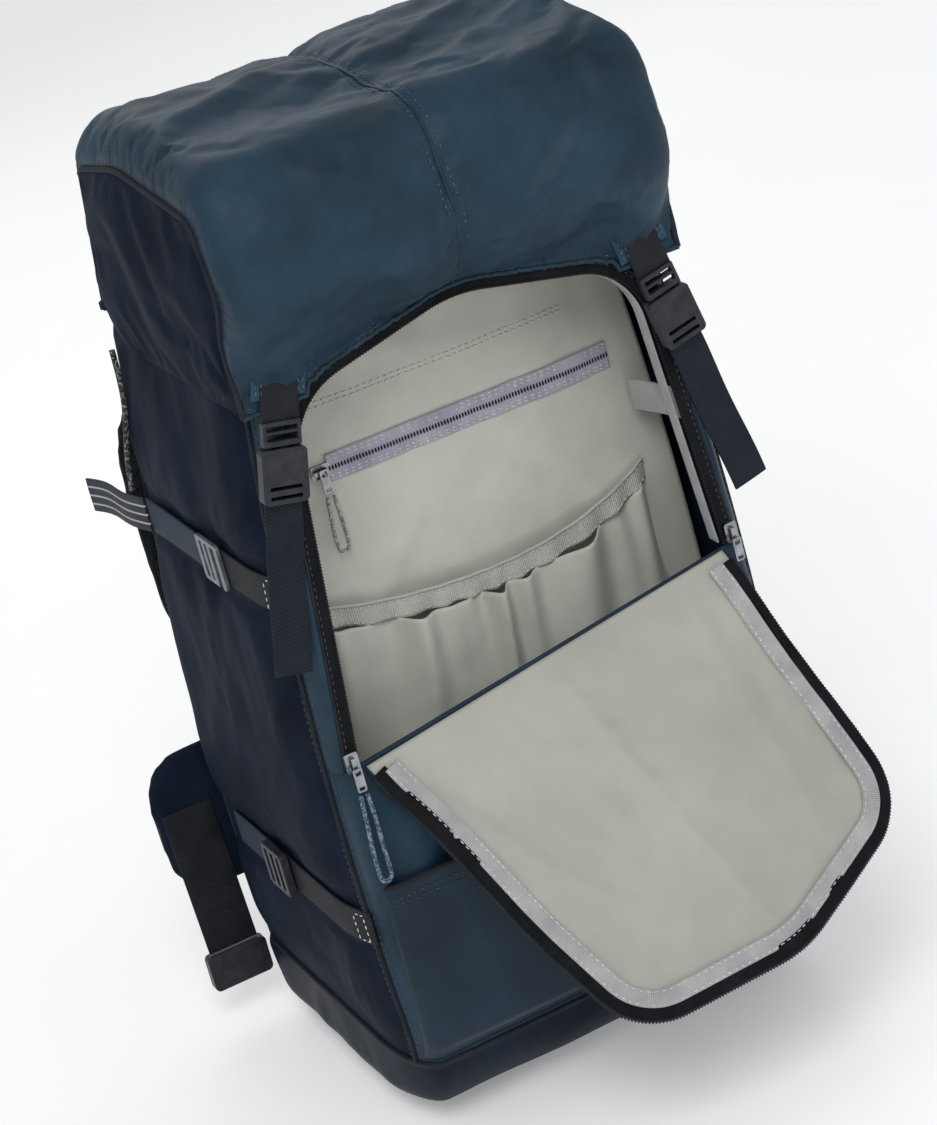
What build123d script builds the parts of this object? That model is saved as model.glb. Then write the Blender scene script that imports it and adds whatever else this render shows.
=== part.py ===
from build123d import *
import os
from math import cos, radians, sin, tan

os.makedirs("parts", exist_ok=True)

# Frame: +X to the right seen from the front, front at -Y, +Z up.
# The origin is on the flat underside of the base, in the middle of the pack's width.

# Driving dimensions, mm
HALF_W_BASE = 152.0      # half width at the floor
HALF_W_MID = 165.0       # half width at the widest height
HALF_W_TOP = 143.0       # half width at the body's top edge
MID_Z = 260.0            # height of the widest place
BODY_TOP = 578.0         # top edge of the body, under the lid
FRONT_Y = -140.0         # outer face of the front panel
BACK_Y_LOW = 140.0       # back panel at the lumbar
BACK_Y_TOP = 103.0       # back panel at the body's top edge
LUMBAR_Z = 60.0          # height at which BACK_Y_LOW is reached
FRONT_BOTTOM_R = 105.0   # rounding from the front down to the base
BACK_BOTTOM_R = 28.0
SIDE_BOTTOM_R = 30.0
WALL = 3.0               # sewn wall: shell fabric, foam and lining
BASE_SEAM_Z = 62.0       # seam between the base and the upper panels
FRONT_WRAP = 14.0        # how far the front panel reaches round the corners
BACK_WRAP = 16.0
COLLAR_H = 26.0          # collar's height over the body
LID_HEM_Z = BODY_TOP - 37.0    # free edge of the lid
LID_HALF_W = (HALF_W_MID + HALF_W_TOP) / 2 - 1.0    # follows the body it covers
LID_TOP = BODY_TOP + 126.0
LID_FRONT_Y = -146.0
LID_BULGE_Y = -186.0
LID_BACK_Y = 110.0
LID_HINGE_Z = BODY_TOP - 12.0
LID_CORNER_R = 26.0
LID_OPEN_GAP = 1.5       # between the lid's hem and the zip tape below it
DIVIDER_Y = -50.0        # front face of the wall behind the front compartment
DIVIDER_T = 2.0
DOOR_TOP = BODY_TOP - 15.0
DOOR_SHOULDER_X = 74.0
DOOR_SHOULDER_Z = DOOR_TOP - 66.0
DOOR_SHOULDER_R = 50.0
DOOR_CROWN_R = 90.0
DOOR_LOW_X = 126.0
DOOR_LOW_Z = 240.0
DOOR_LOW_R = 20.0
FOLD_Z = 314.0           # fold line of the door at the middle of the pack
FOLD_SLANT = 8.3         # degrees, the left zip slider stands lower than the right one
DOOR_OPEN = 144.0        # degrees from closed to hanging open
DOOR_GAP = 1.5
TAPE_T = 1.4
TAPE_W = 8.0
FABRIC_T = 1.8
LINING_T = 1.2
WEB_W = 25.0             # standard webbing
WEB_T = 2.0
PAD_T = 12.0
LUMBAR_T = 17.0
STRAP_W = 62.0
STRAP_T = 12.0
HIP_T = 14.0
STAY_W = 20.0
CORD_D = 3.0
SIDE_CORD_D = 4.0
POCKET_GAP = 7.0
POCKET_T = 2.0
ELASTIC_GAP = 12.0
FAR = 400.0              # longer than the pack, for cutting blocks


def save(shape, name):
    export_step(shape, f"parts/{name}.step")


def slab(x0, x1, y0, y1, z0, z1):
    """Block between two corners."""
    centre = ((x0 + x1) / 2, (y0 + y1) / 2, (z0 + z1) / 2)
    return Pos(*centre) * Box(x1 - x0, y1 - y0, z1 - z0)


def mirrored(shape):
    return mirror(shape, about=Plane.YZ)


def yz_solid(sketch, x0, x1):
    """Sketch drawn as (y, z), made solid between two x planes."""
    face = Plane.YZ * sketch
    return Pos(x0, 0, 0) * extrude(face, amount=x1 - x0, dir=(1, 0, 0))


def xz_solid(sketch, y0, y1):
    """Sketch drawn as (x, z), made solid between two y planes."""
    face = Plane((0, 0, 0), x_dir=(1, 0, 0), z_dir=(0, -1, 0)) * sketch
    return Pos(0, y0, 0) * extrude(face, amount=y1 - y0, dir=(0, 1, 0))


def back_y(z):
    """Outer face of the back panel at a height."""
    return BACK_Y_LOW + (BACK_Y_TOP - BACK_Y_LOW) * (z - LUMBAR_Z) / (BODY_TOP - LUMBAR_Z)


def half_width(z):
    """Half width of the body at a height, on the arc through its three widths."""
    points = ((0, HALF_W_BASE), (MID_Z, HALF_W_MID), (BODY_TOP, HALF_W_TOP))
    total = 0.0
    for i, (zi, wi) in enumerate(points):
        term = wi
        for j, (zj, _) in enumerate(points):
            if i != j:
                term *= (z - zj) / (zi - zj)
        total += term
    return total


def block(inset, top=BODY_TOP):
    """The body's outer shape drawn in by inset on every side but the top."""
    y0 = FRONT_Y + inset
    low = (back_y(inset) - inset, inset)
    high = (back_y(top) - inset, top)
    side = Polyline((y0, top), (y0, inset), low, high, close=True)
    side = make_face(side)
    corners = side.vertices().sort_by(Axis.Y)
    bottom = [v for v in corners if abs(v.Y - inset) < 0.01]
    front_corner = min(bottom, key=lambda v: v.X)
    back_corner = max(bottom, key=lambda v: v.X)
    side = fillet(front_corner, FRONT_BOTTOM_R - inset)
    side = fillet(max(side.vertices(), key=lambda v: v.X - v.Y), BACK_BOTTOM_R - inset)
    w0 = HALF_W_BASE - inset
    reach = BODY_TOP + COLLAR_H + 5
    right = ThreePointArc((w0, inset), (HALF_W_MID - inset, MID_Z), (half_width(reach) - inset, reach))
    left = mirror(right, about=Plane.YZ)
    front = make_face(Curve() + [right, Line(right @ 1, left @ 1), left, Line(left @ 0, right @ 0)])
    low_corners = [v for v in front.vertices() if v.Y < inset + 1]
    front = fillet(low_corners, SIDE_BOTTOM_R - inset)
    return yz_solid(side, -FAR / 2, FAR / 2) & xz_solid(front, -FAR / 2, FAR / 2)


def layer(outer, inner, top=BODY_TOP):
    """Skin between two insets of the body's shape."""
    return block(outer, top) - block(inner, top + 1)


# Body panels: one skin, divided along its seams.
outer_block = block(0)
inner_block = block(WALL, BODY_TOP + 1)
skin = outer_block - inner_block
above_base = slab(-FAR, FAR, -FAR, FAR, BASE_SEAM_Z, FAR * 2)
front_zone = slab(-FAR, FAR, -FAR, FRONT_Y + FRONT_WRAP, BASE_SEAM_Z, FAR * 2)
back_profile = Polyline(
    (back_y(-50) - BACK_WRAP, -50), (FAR, -50), (FAR, 700), (back_y(700) - BACK_WRAP, 700), close=True
)
back_zone = yz_solid(make_face(back_profile), -FAR, FAR)


def door_outline(grow=0.0):
    """Outline of the front opening, as (x, z), grown by a seam allowance."""
    circles = [(0, DOOR_TOP - DOOR_CROWN_R, DOOR_CROWN_R)]
    for side in (-1, 1):
        circles.append((side * DOOR_SHOULDER_X, DOOR_SHOULDER_Z, DOOR_SHOULDER_R))
        circles.append((side * DOOR_LOW_X, DOOR_LOW_Z, DOOR_LOW_R))
    edges = [Pos(x, z) * Edge.make_circle(r + grow) for x, z, r in circles]
    return make_face(make_hull(edges))


def above_fold(offset):
    """Half space over the slanted fold line, raised by offset, as (x, z)."""
    return Pos(0, FOLD_Z) * Rot(0, 0, FOLD_SLANT) * Pos(0, offset + FAR) * Rectangle(FAR * 3, FAR * 2)


def door_sheet(grow, offset, y0, y1):
    """Sheet with the door's outline between two depths, ending offset above the fold."""
    return xz_solid(door_outline(grow) & above_fold(offset), y0, y1)


def door_ring(outer, inner, offset, y0, y1):
    return xz_solid((door_outline(outer) - door_outline(inner)) & above_fold(offset), y0, y1)


opening = door_sheet(0, 0, FRONT_Y - 5, FRONT_Y + WALL + 2)
base_panel = skin - above_base
front_panel = (skin & front_zone) - opening
back_panel = (skin & above_base & back_zone) - front_zone
sides = (skin & above_base) - back_zone - front_zone
side_panel_left = sides & slab(-FAR, 0, -FAR, FAR, -FAR, FAR * 2)
side_panel_right = sides & slab(0, FAR, -FAR, FAR, -FAR, FAR * 2)

roof_z = BODY_TOP - WALL
compartment = slab(-FAR, FAR, -FAR, DIVIDER_Y + DIVIDER_T, -FAR, FAR * 2)
compartment_roof = inner_block & compartment & slab(-FAR, FAR, -FAR, FAR, roof_z, BODY_TOP)
divider = inner_block & slab(-FAR, FAR, DIVIDER_Y, DIVIDER_Y + DIVIDER_T, -FAR, roof_z)
main_zone = slab(-FAR, FAR, DIVIDER_Y + DIVIDER_T, FAR, LID_HEM_Z, BODY_TOP + COLLAR_H)
collar_inner = slab(-FAR, FAR, DIVIDER_Y + DIVIDER_T * 2, FAR, 0, FAR * 2)
collar_top = BODY_TOP + COLLAR_H
top_collar = (block(WALL, collar_top) & main_zone) - (block(WALL + 2, collar_top + 1) & collar_inner)

# Divider furniture, facing the front compartment
ZIP_Z = BODY_TOP - 123.0
ZIP_X0 = -80.0
ZIP_X1 = 128.0
ZIP_W = 17.0
ELASTIC_Z = BODY_TOP - 226.0
ELASTIC_H = 15.0
POCKET_HALF_W = 132.0
POCKET_Z0 = 150.0
pocket_face = DIVIDER_Y - ELASTIC_GAP - POCKET_T
inner_zip_tape = slab(ZIP_X0, ZIP_X1, DIVIDER_Y - TAPE_T, DIVIDER_Y, ZIP_Z - ZIP_W / 2, ZIP_Z + ZIP_W / 2)
inner_pocket_bag = slab(
    ZIP_X0 - 12, ZIP_X1 + 6, DIVIDER_Y + DIVIDER_T, DIVIDER_Y + DIVIDER_T * 2, ELASTIC_Z + 20, ZIP_Z + 12
)
elastic_pocket = slab(-POCKET_HALF_W, POCKET_HALF_W, pocket_face, DIVIDER_Y, POCKET_Z0, ELASTIC_Z)
elastic_pocket -= slab(
    -POCKET_HALF_W + POCKET_T, POCKET_HALF_W - POCKET_T, pocket_face + POCKET_T, DIVIDER_Y,
    POCKET_Z0 + POCKET_T, ELASTIC_Z + 1
)
elastic_band = slab(
    -POCKET_HALF_W, POCKET_HALF_W, pocket_face - 0.6, pocket_face + POCKET_T, ELASTIC_Z, ELASTIC_Z + ELASTIC_H
)

# Lower front pocket, open at the top, following the rounded lower front
LOW_POCKET_TOP = 212.0
LOW_POCKET_Z0 = 70.0
LOW_POCKET_HALF_W = 150.0
pocket_shape = layer(-POCKET_GAP - POCKET_T, 0)
pocket_zone = slab(-LOW_POCKET_HALF_W, LOW_POCKET_HALF_W, -FAR, -60, LOW_POCKET_Z0, LOW_POCKET_TOP)
pocket_space_zone = slab(
    -LOW_POCKET_HALF_W + POCKET_T, LOW_POCKET_HALF_W - POCKET_T, -FAR, -60,
    LOW_POCKET_Z0 + POCKET_T, LOW_POCKET_TOP + 1
)
front_pocket = (pocket_shape & pocket_zone) - (layer(-POCKET_GAP, 0) & pocket_space_zone)

# Door zip tape on the body, and the door itself, made closed and then turned open
body_zip_tape = door_ring(TAPE_W, 0, 0, FRONT_Y - TAPE_T, FRONT_Y)
fold_axis = Axis((0, FRONT_Y, FOLD_Z), (cos(radians(FOLD_SLANT)), 0, sin(radians(FOLD_SLANT))))


def opened(shape):
    return shape.rotate(fold_axis, DOOR_OPEN)


door_shell = opened(door_sheet(-DOOR_GAP, 2, FRONT_Y, FRONT_Y + FABRIC_T))
door_lining = opened(door_sheet(-DOOR_GAP, 2, FRONT_Y + FABRIC_T, FRONT_Y + FABRIC_T + LINING_T))
door_zip_tape = opened(door_ring(-DOOR_GAP, -DOOR_GAP - TAPE_W, 9, FRONT_Y - TAPE_T, FRONT_Y))
lining_y = FRONT_Y + FABRIC_T + LINING_T
door_binding = opened(door_ring(-DOOR_GAP - 2, -DOOR_GAP - 14, 9, lining_y, lining_y + 0.8))

# Lid: a deep cap with side gussets, hinged along its seam at the back
lid_sketch = Polyline(
    (LID_FRONT_Y, LID_HEM_Z - 40), (LID_FRONT_Y, LID_HEM_Z + 6), (LID_BULGE_Y, LID_HEM_Z + 74),
    (LID_BULGE_Y + 18, LID_TOP - 12), (-30, LID_TOP + 2), (66, LID_TOP - 14),
    (LID_BACK_Y, LID_HINGE_Z + 4), (LID_BACK_Y, LID_HEM_Z - 40), close=True
)
lid_face = make_face(lid_sketch)
lid_radii = ((LID_FRONT_Y, LID_HEM_Z + 6, 40), (LID_BULGE_Y, LID_HEM_Z + 74, 50),
             (LID_BULGE_Y + 18, LID_TOP - 12, 40), (-30, LID_TOP + 2, 150),
             (66, LID_TOP - 14, 42), (LID_BACK_Y, LID_HINGE_Z + 4, 30))
for y, z, radius in lid_radii:
    corner = min(lid_face.vertices(), key=lambda v: abs(v.X - y) + abs(v.Y - z))
    lid_face = fillet(corner, radius)
lid_low = LID_HEM_Z - 40


def lid_front(half_w, top, radius):
    """Lid's outline from the front, with rounded top corners, as (x, z)."""
    tall = top - lid_low
    outline = Pos(0, lid_low + tall / 2) * Rectangle(half_w * 2, tall)
    upper = outline.vertices().sort_by(Axis.Y)[-2:]
    return fillet(upper, radius)


lid_outer = yz_solid(lid_face, -FAR / 2, FAR / 2)
lid_outer &= xz_solid(lid_front(LID_HALF_W, LID_TOP, LID_CORNER_R), -FAR, FAR)
lid_inner_face = offset(lid_face, amount=-WALL)
lid_inner = yz_solid(lid_inner_face, -FAR / 2, FAR / 2)
lid_inner &= xz_solid(lid_front(LID_HALF_W - WALL, LID_TOP - WALL, LID_CORNER_R - WALL), -FAR, FAR)
lid_room = yz_solid(offset(lid_face, amount=-WALL - 2), -FAR / 2, FAR / 2)
top_collar &= lid_room
lid_skin = lid_outer - lid_inner
lid_skin &= slab(-FAR, FAR, -FAR, FAR, LID_HEM_Z, FAR * 2)
lid_skin -= slab(-FAR, FAR, LID_BACK_Y - 12, FAR, 0, LID_HINGE_Z + 1)
lid_skin -= xz_solid(door_outline(TAPE_W + LID_OPEN_GAP), -FAR, FRONT_Y + 20)
gusset_x = LID_HALF_W - WALL
lid_gusset_left = lid_skin & slab(-FAR, -gusset_x, -FAR, FAR, 0, FAR * 2)
lid_gusset_right = mirrored(lid_gusset_left)
REAR_STRIP_Y = 62.0
lid_middle = lid_skin & slab(-gusset_x, gusset_x, -FAR, FAR, 0, FAR * 2)
rear_zone = slab(-FAR, FAR, REAR_STRIP_Y, FAR, 0, FAR * 2)
lid_top = lid_middle - rear_zone
lid_rear_strip = lid_middle & rear_zone
lid_hinge_strip = slab(-120, 120, 0, FAR, LID_HINGE_Z - 20, LID_HINGE_Z - 3) & layer(-2, 0)

# Lid straps: webbing and a side-release buckle at each front corner
STRAP_LEAN = 12.3        # degrees, the straps follow the door's sides
STRAP_TOP = (-130.0, LID_HEM_Z)
BUCKLE_GAP = 0.7         # between the halves of a buckle
BUCKLE_TRAVEL = 24.0
strap_y = FRONT_Y - TAPE_T - 0.2 - WEB_T / 2
buckle_y = strap_y - WEB_T / 2 - 4.6


def on_strap(shape, depth=buckle_y):
    """Shape drawn about a hanging strap's top end, set on the left lid strap."""
    return Pos(STRAP_TOP[0], depth, STRAP_TOP[1]) * Rot(0, STRAP_LEAN, 0) * shape


def centred(width, depth, z_low, z_high):
    return slab(-width / 2, width / 2, -depth / 2, depth / 2, z_low, z_high)


male = centred(25, 6, -24, -8) - centred(20, 8, -20, -16) - centred(20, 8, -14, -11)
male += centred(5, 3.4, -44, -24)
for side in (-1, 1):
    male += Pos(side * 9.2, 0, 0) * centred(3.6, 3.4, -44, -24)
female = centred(30, 8.4, -60, -25)
female = fillet(female.edges().filter_by(Axis.Y), 3.5)
female -= centred(23.4, 3.4 + 2 * BUCKLE_GAP, -46, -20)
female -= centred(21, 10, -57, -54.5)
female -= centred(21, 10, -51, -48.5)
male_buckle_left = on_strap(male)
female_buckle_left = on_strap(female)
lid_strap_left = on_strap(centred(WEB_W, WEB_T, -7.5, 2), LID_FRONT_Y - WEB_T - 0.4)
body_strap_left = on_strap(centred(WEB_W, WEB_T, -84, -47), strap_y)


# Compression straps on the sides
UPPER_STRAP_Z = BODY_TOP - 162.0
LOWER_STRAP_Z = 176.0
STRAP_FRONT = -126.0
STRAP_BACK = 88.0
HOOK_Y = -30.0
LOCK_Y = 6.0


def side_strap(z, y0, y1):
    zone = slab(-FAR, 0, y0, y1, z - WEB_W / 2, z + WEB_W / 2)
    return layer(-WEB_T, 0) & zone


def on_side(z, y, shape, lift):
    """Shape drawn in the XZ plane facing -Y, turned to face out of the left side."""
    return Pos(-half_width(z) - lift, y, z) * Rot(0, 0, -90) * shape


upper_strap_left = side_strap(UPPER_STRAP_Z, STRAP_FRONT, STRAP_BACK)
lower_strap_left = side_strap(LOWER_STRAP_Z, STRAP_FRONT, STRAP_BACK)
hook = centred(38, 2.4, -16, 16)
hook = fillet(hook.edges().filter_by(Axis.Y), 3)
hook -= Pos(-11, 0, 0) * centred(5, 4, -13, 13)
hook -= Pos(-2, 0, 0) * centred(4, 4, -13, 13)
hook -= Pos(9, 0, 4) * centred(7, 4, -21, 9)
hook_buckle_left = on_side(UPPER_STRAP_Z, HOOK_Y, hook, WEB_T + 3)
lock = centred(36, 6, -16, 16)
lock = fillet(lock.edges().filter_by(Axis.Y), 3)
for x in (-10, 0, 10):
    lock -= Pos(x, 0, 0) * centred(5, 8, -12.5, 12.5)
ladder_lock_left = on_side(LOWER_STRAP_Z, LOCK_Y, lock, WEB_T + 5)
TAIL_LEN = 86.0
tail_x = -half_width(UPPER_STRAP_Z) - 3
strap_tail_left = Pos(tail_x, STRAP_BACK + 3, UPPER_STRAP_Z) * Rot(0, 0, 8) * slab(
    -WEB_T, 0, 0, TAIL_LEN, -WEB_W / 2, WEB_W / 2
)

# Frame in the back: a sheet with two stays
frame_zone = slab(-115, 115, 0, FAR, BASE_SEAM_Z + 8, LID_HEM_Z - 4) & back_zone
frame_sheet = layer(WALL, WALL + 2) & frame_zone
stay_layer = layer(WALL + 2, WALL + 5)
stay_zone = slab(-60 - STAY_W / 2, -60 + STAY_W / 2, 0, FAR, BASE_SEAM_Z + 14, LID_HEM_Z - 12)
frame_stay_left = stay_layer & stay_zone

# Padding on the back
pad_zone = slab(-108, -14, 0, FAR, 246, BODY_TOP - 104)
back_pad_left = layer(-PAD_T, 0) & fillet(pad_zone.edges().filter_by(Axis.Y), 26)
lumbar_zone = slab(-96, 96, 60, FAR, 84, 204)
lumbar_pad = layer(-LUMBAR_T, 0) & fillet(lumbar_zone.edges().filter_by(Axis.Y), 34)

# Shoulder strap: its outline from behind crossed with its bow from the side
STRAP_FOOT_Z = 228.0
strap_bend_z = LID_HEM_Z - 101
strap_front_path = FilletPolyline(
    (-68, LID_HEM_Z), (-74, LID_HEM_Z - 41), (-120, strap_bend_z),
    (-124, (strap_bend_z + STRAP_FOOT_Z) / 2 - 14), (-114, STRAP_FOOT_Z + 2), radius=60
)
strap_drop = LID_HEM_Z + 2 - STRAP_FOOT_Z
strap_bow_points = ((113, 1), (126, 0.911), (172, 0.743), (186, 0.53), (176, 0.26), (151, 0))
strap_side_path = FilletPolyline(
    *((y, STRAP_FOOT_Z + share * strap_drop) for y, share in strap_bow_points), radius=40
)
strap_outline = xz_solid(trace(strap_front_path, STRAP_W), 60, 260)
strap_bow = yz_solid(trace(strap_side_path, STRAP_T), -FAR / 2, 0)
shoulder_strap_left = strap_outline & strap_bow


def webbing(start, end, width, thickness):
    """Flat webbing between two points, its width along X."""
    run = Vector(*end) - Vector(*start)
    plane = Plane(origin=Vector(*start), x_dir=(1, 0, 0), z_dir=run)
    piece = plane * Pos(0, 0, run.length / 2) * Box(width, thickness, run.length)
    return piece


STRAP_WEB_W = 20.0
strap_web_left = webbing((-115, 139.8, 224), (-128, 141.6, 84), STRAP_WEB_W, WEB_T)
strap_lock = centred(30, 5, -15, 13)
for z in (-9, 0, 8):
    strap_lock -= centred(21, 8, z - 2, z + 2)
strap_lock_left = Pos(-116, 144.6, 208) * strap_lock
STERNUM_Z = STRAP_FOOT_Z + 0.546 * strap_drop
STERNUM_Y = 185.0
STERNUM_GAP = 92.0
sternum_web_left = slab(-STERNUM_GAP + 2, -15.5, STERNUM_Y, STERNUM_Y + 1.6, STERNUM_Z - 10, STERNUM_Z + 10)
sternum_buckle = Pos(0, STERNUM_Y + 1, STERNUM_Z) * centred(30, 8, -13, 13)
sternum_buckle = fillet(sternum_buckle.edges().filter_by(Axis.Y), 3)

# Hip belt wings
HIP_X0 = -210.0
HIP_X1 = -112.0
HIP_Z0 = 104.0
HIP_Z1 = 218.0
HIP_Y = 152.0
wing = slab(HIP_X0, HIP_X1, HIP_Y, HIP_Y + HIP_T, HIP_Z0, HIP_Z1)
wing = fillet(wing.edges().filter_by(Axis.Y).group_by(Axis.X)[0], 38)
hip_wing_left = wing
HIP_WEB_X = -184.0
hip_web_left = webbing((HIP_WEB_X, HIP_Y - 1.6, 176), (HIP_WEB_X + 3, HIP_Y - 5, 62), 38, WEB_T)
hip_buckle_left = Pos(HIP_WEB_X + 3, HIP_Y - 5.4, 47) * centred(46, 8, -14, 14)
hip_buckle_left = fillet(hip_buckle_left.edges().filter_by(Axis.Y), 4)

# Haul handle, hanging on its seam under the lid's hinge
HANDLE_HALF_W = 34.0
HANDLE_DROP = 34.0
HANDLE_Y = 112.0
HANDLE_Z = LID_HINGE_Z - 22
HANDLE_BAND = 9.0
handle_sketch = Pos(0, HANDLE_Z - HANDLE_DROP / 2) * Rectangle(HANDLE_HALF_W * 2, HANDLE_DROP)
handle_sketch = fillet(handle_sketch.vertices().sort_by(Axis.Y)[:2], 14)
handle_hole = Pos(0, HANDLE_Z - HANDLE_DROP / 2 + HANDLE_BAND) * Rectangle(
    HANDLE_HALF_W * 2 - 2 * HANDLE_BAND, HANDLE_DROP
)
haul_handle = xz_solid(handle_sketch - handle_hole, HANDLE_Y - 2.5, HANDLE_Y + 2.5)

# Zip sliders and their pulls
SLIDER_LEFT = (-146.5, FOLD_Z - 14.0)
SLIDER_RIGHT = (144.4, FOLD_Z + 29.0)
SLIDER_Y = FRONT_Y - TAPE_T - 0.3
TAB_LEN = 15.0


def zip_slider(x, y, z):
    """Slider with a bridge, mouth down, in front of its tape."""
    body = slab(-4.5, 4.5, -3, 0, -7, 7)
    body = fillet(body.edges().filter_by(Axis.Y), 2)
    bridge = slab(-1.5, 1.5, -6, -3, -6, 4) - slab(-2, 2, -4.8, -3, -5.6, 3)
    return Pos(x, y, z) * (body + bridge)


def pull_tab(x, y, z):
    """Flat tab that hangs from the bridge, with an eye at each end."""
    tab = slab(-3.2, 3.2, -0.6, 0.6, -TAB_LEN, 1.5)
    tab = fillet(tab.edges().filter_by(Axis.Y), 1.2)
    tab -= slab(-1.9, 1.9, -1, 1, -3.2, 0.3)
    tab -= slab(-1.9, 1.9, -1, 1, -TAB_LEN + 1.4, -TAB_LEN + 3.6)
    return Pos(x, y, z) * tab


door_slider_left = zip_slider(SLIDER_LEFT[0], SLIDER_Y, SLIDER_LEFT[1])
door_slider_right = zip_slider(SLIDER_RIGHT[0], SLIDER_Y, SLIDER_RIGHT[1])
tab_y = SLIDER_Y - 7.6
tab_drop = 4.0
door_tab_left = pull_tab(SLIDER_LEFT[0], tab_y, SLIDER_LEFT[1] - tab_drop)
door_tab_right = pull_tab(SLIDER_RIGHT[0], tab_y, SLIDER_RIGHT[1] - tab_drop)
POCKET_SLIDER_X = ZIP_X0 - 5
pocket_y = DIVIDER_Y - TAPE_T - 0.3
pocket_slider = Pos(POCKET_SLIDER_X, pocket_y, ZIP_Z) * Rot(0, 90, 0) * zip_slider(0, 0, 0)
pocket_tab = pull_tab(POCKET_SLIDER_X, pocket_y - 7.6, ZIP_Z + 1)


def cord_radii(points):
    """Largest tangent arc at each corner: 0.45 of the shorter run."""
    radii = []
    for a, b, c in zip(points, points[1:], points[2:]):
        first = Vector(*b) - Vector(*a)
        second = Vector(*c) - Vector(*b)
        turn = first.get_angle(second)
        shorter = min(first.length, second.length)
        radii.append(0.45 * shorter / tan(radians(turn / 2)))
    return radii


def cord_tube(name, points, diameter):
    radii = cord_radii(points)
    print(name, "radii", [round(r, 1) for r in radii])
    path = FilletPolyline(*points, radius=radii)
    start = Plane(origin=path @ 0, z_dir=path % 0)
    tube = sweep(start * Circle(diameter / 2), path=path)
    ratio = tube.volume / (3.14159265 * diameter ** 2 / 4 * path.length)
    print(name, "length", round(path.length, 1), "volume ratio", round(ratio, 4))
    return tube


def loop_route(x, y, z, drop, lean):
    """Hand-chosen points of a cord doubled through a tab's eye."""
    return [
        (x - 2.4, y, z), (x - 3.6, y - 0.6, z - drop * 0.34), (x - 4.2 - lean, y - 0.9, z - drop * 0.66),
        (x - 3.9 - lean, y - 0.8, z - drop * 0.86), (x - 3.4 - lean, y - 0.7, z - drop),
        (x + 3.4 - lean, y - 0.7, z - drop), (x + 4.0 - lean, y - 0.9, z - drop * 0.86),
        (x + 3.6 - lean, y - 1.0, z - drop * 0.62), (x + 3.0, y - 0.6, z - drop * 0.3), (x + 2.4, y, z),
    ]


eye = TAB_LEN - 2.5
cord_drop = 62.0
left_z = SLIDER_LEFT[1] - tab_drop - eye - 5
door_cord_left = cord_tube("door_cord_left", loop_route(SLIDER_LEFT[0], tab_y, left_z, cord_drop, 1), CORD_D)
pocket_cord_z = ZIP_Z + 1 - eye - 5
pocket_cord = cord_tube(
    "pocket_cord", loop_route(POCKET_SLIDER_X, pocket_y - 7.6, pocket_cord_z, 38, 0.5), CORD_D * 0.8
)
side_points = [
    (-156.5, 84, 536), (-158.0, 80, 508), (-161.5, 88, 480), (-164.5, 99, 455), (-166.0, 103, 432)
]
side_cord_left = cord_tube("side_cord_left", side_points, SIDE_CORD_D)
side_cord_right = mirrored(side_cord_left)

parts = {
    "base_panel": base_panel,
    "front_panel": front_panel,
    "side_panel_left": side_panel_left,
    "side_panel_right": side_panel_right,
    "back_panel": back_panel,
    "compartment_roof": compartment_roof,
    "divider_wall": divider,
    "top_collar": top_collar,
    "inner_zip_tape": inner_zip_tape,
    "inner_pocket_bag": inner_pocket_bag,
    "elastic_pocket": elastic_pocket,
    "elastic_band": elastic_band,
    "front_pocket": front_pocket,
    "body_zip_tape": body_zip_tape,
    "door_shell": door_shell,
    "door_lining": door_lining,
    "door_zip_tape": door_zip_tape,
    "door_binding": door_binding,
    "lid_top": lid_top,
    "lid_rear_strip": lid_rear_strip,
    "lid_gusset_left": lid_gusset_left,
    "lid_gusset_right": lid_gusset_right,
    "lid_hinge_strip": lid_hinge_strip,
    "frame_sheet": frame_sheet,
    "lumbar_pad": lumbar_pad,
    "sternum_buckle": sternum_buckle,
    "haul_handle": haul_handle,
    "door_slider_left": door_slider_left,
    "door_slider_right": door_slider_right,
    "door_tab_left": door_tab_left,
    "door_tab_right": door_tab_right,
    "door_cord_left": door_cord_left,
    "pocket_slider": pocket_slider,
    "pocket_tab": pocket_tab,
    "pocket_cord": pocket_cord,
    "side_cord_left": side_cord_left,
    "side_cord_right": side_cord_right,
}
# Pairs that are the same on both sides, each side's a solid of its own in one node
both_sides = {
    "lid_strap": lid_strap_left,
    "body_strap": body_strap_left,
    "male_buckle": male_buckle_left,
    "upper_strap": upper_strap_left,
    "lower_strap": lower_strap_left,
    "hook_buckle": hook_buckle_left,
    "ladder_lock": ladder_lock_left,
    "frame_stay": frame_stay_left,
    "back_pad": back_pad_left,
    "strap_web": strap_web_left,
    "strap_lock": strap_lock_left,
    "sternum_web": sternum_web_left,
}
for name, shape in both_sides.items():
    parts[name + "s"] = Compound(children=[*shape.solids(), *mirrored(shape).solids()])
parts["upper_straps"] = Compound(children=[*parts["upper_straps"].solids(), *strap_tail_left.solids()])
# Pairs whose sides move apart or differ, each side in its own node
own_sides = {
    "female_buckle": female_buckle_left,
    "shoulder_strap": shoulder_strap_left,
    "hip_wing": hip_wing_left,
    "hip_web": hip_web_left,
    "hip_buckle": hip_buckle_left,
}
for name, shape in own_sides.items():
    parts[name + "_left"] = shape
    parts[name + "_right"] = mirrored(shape)
for name, shape in parts.items():
    save(shape, name)
print(len(parts), "nodes")
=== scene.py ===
import math

import bmesh
import bpy
from mathutils import Matrix, Vector, noise


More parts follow.
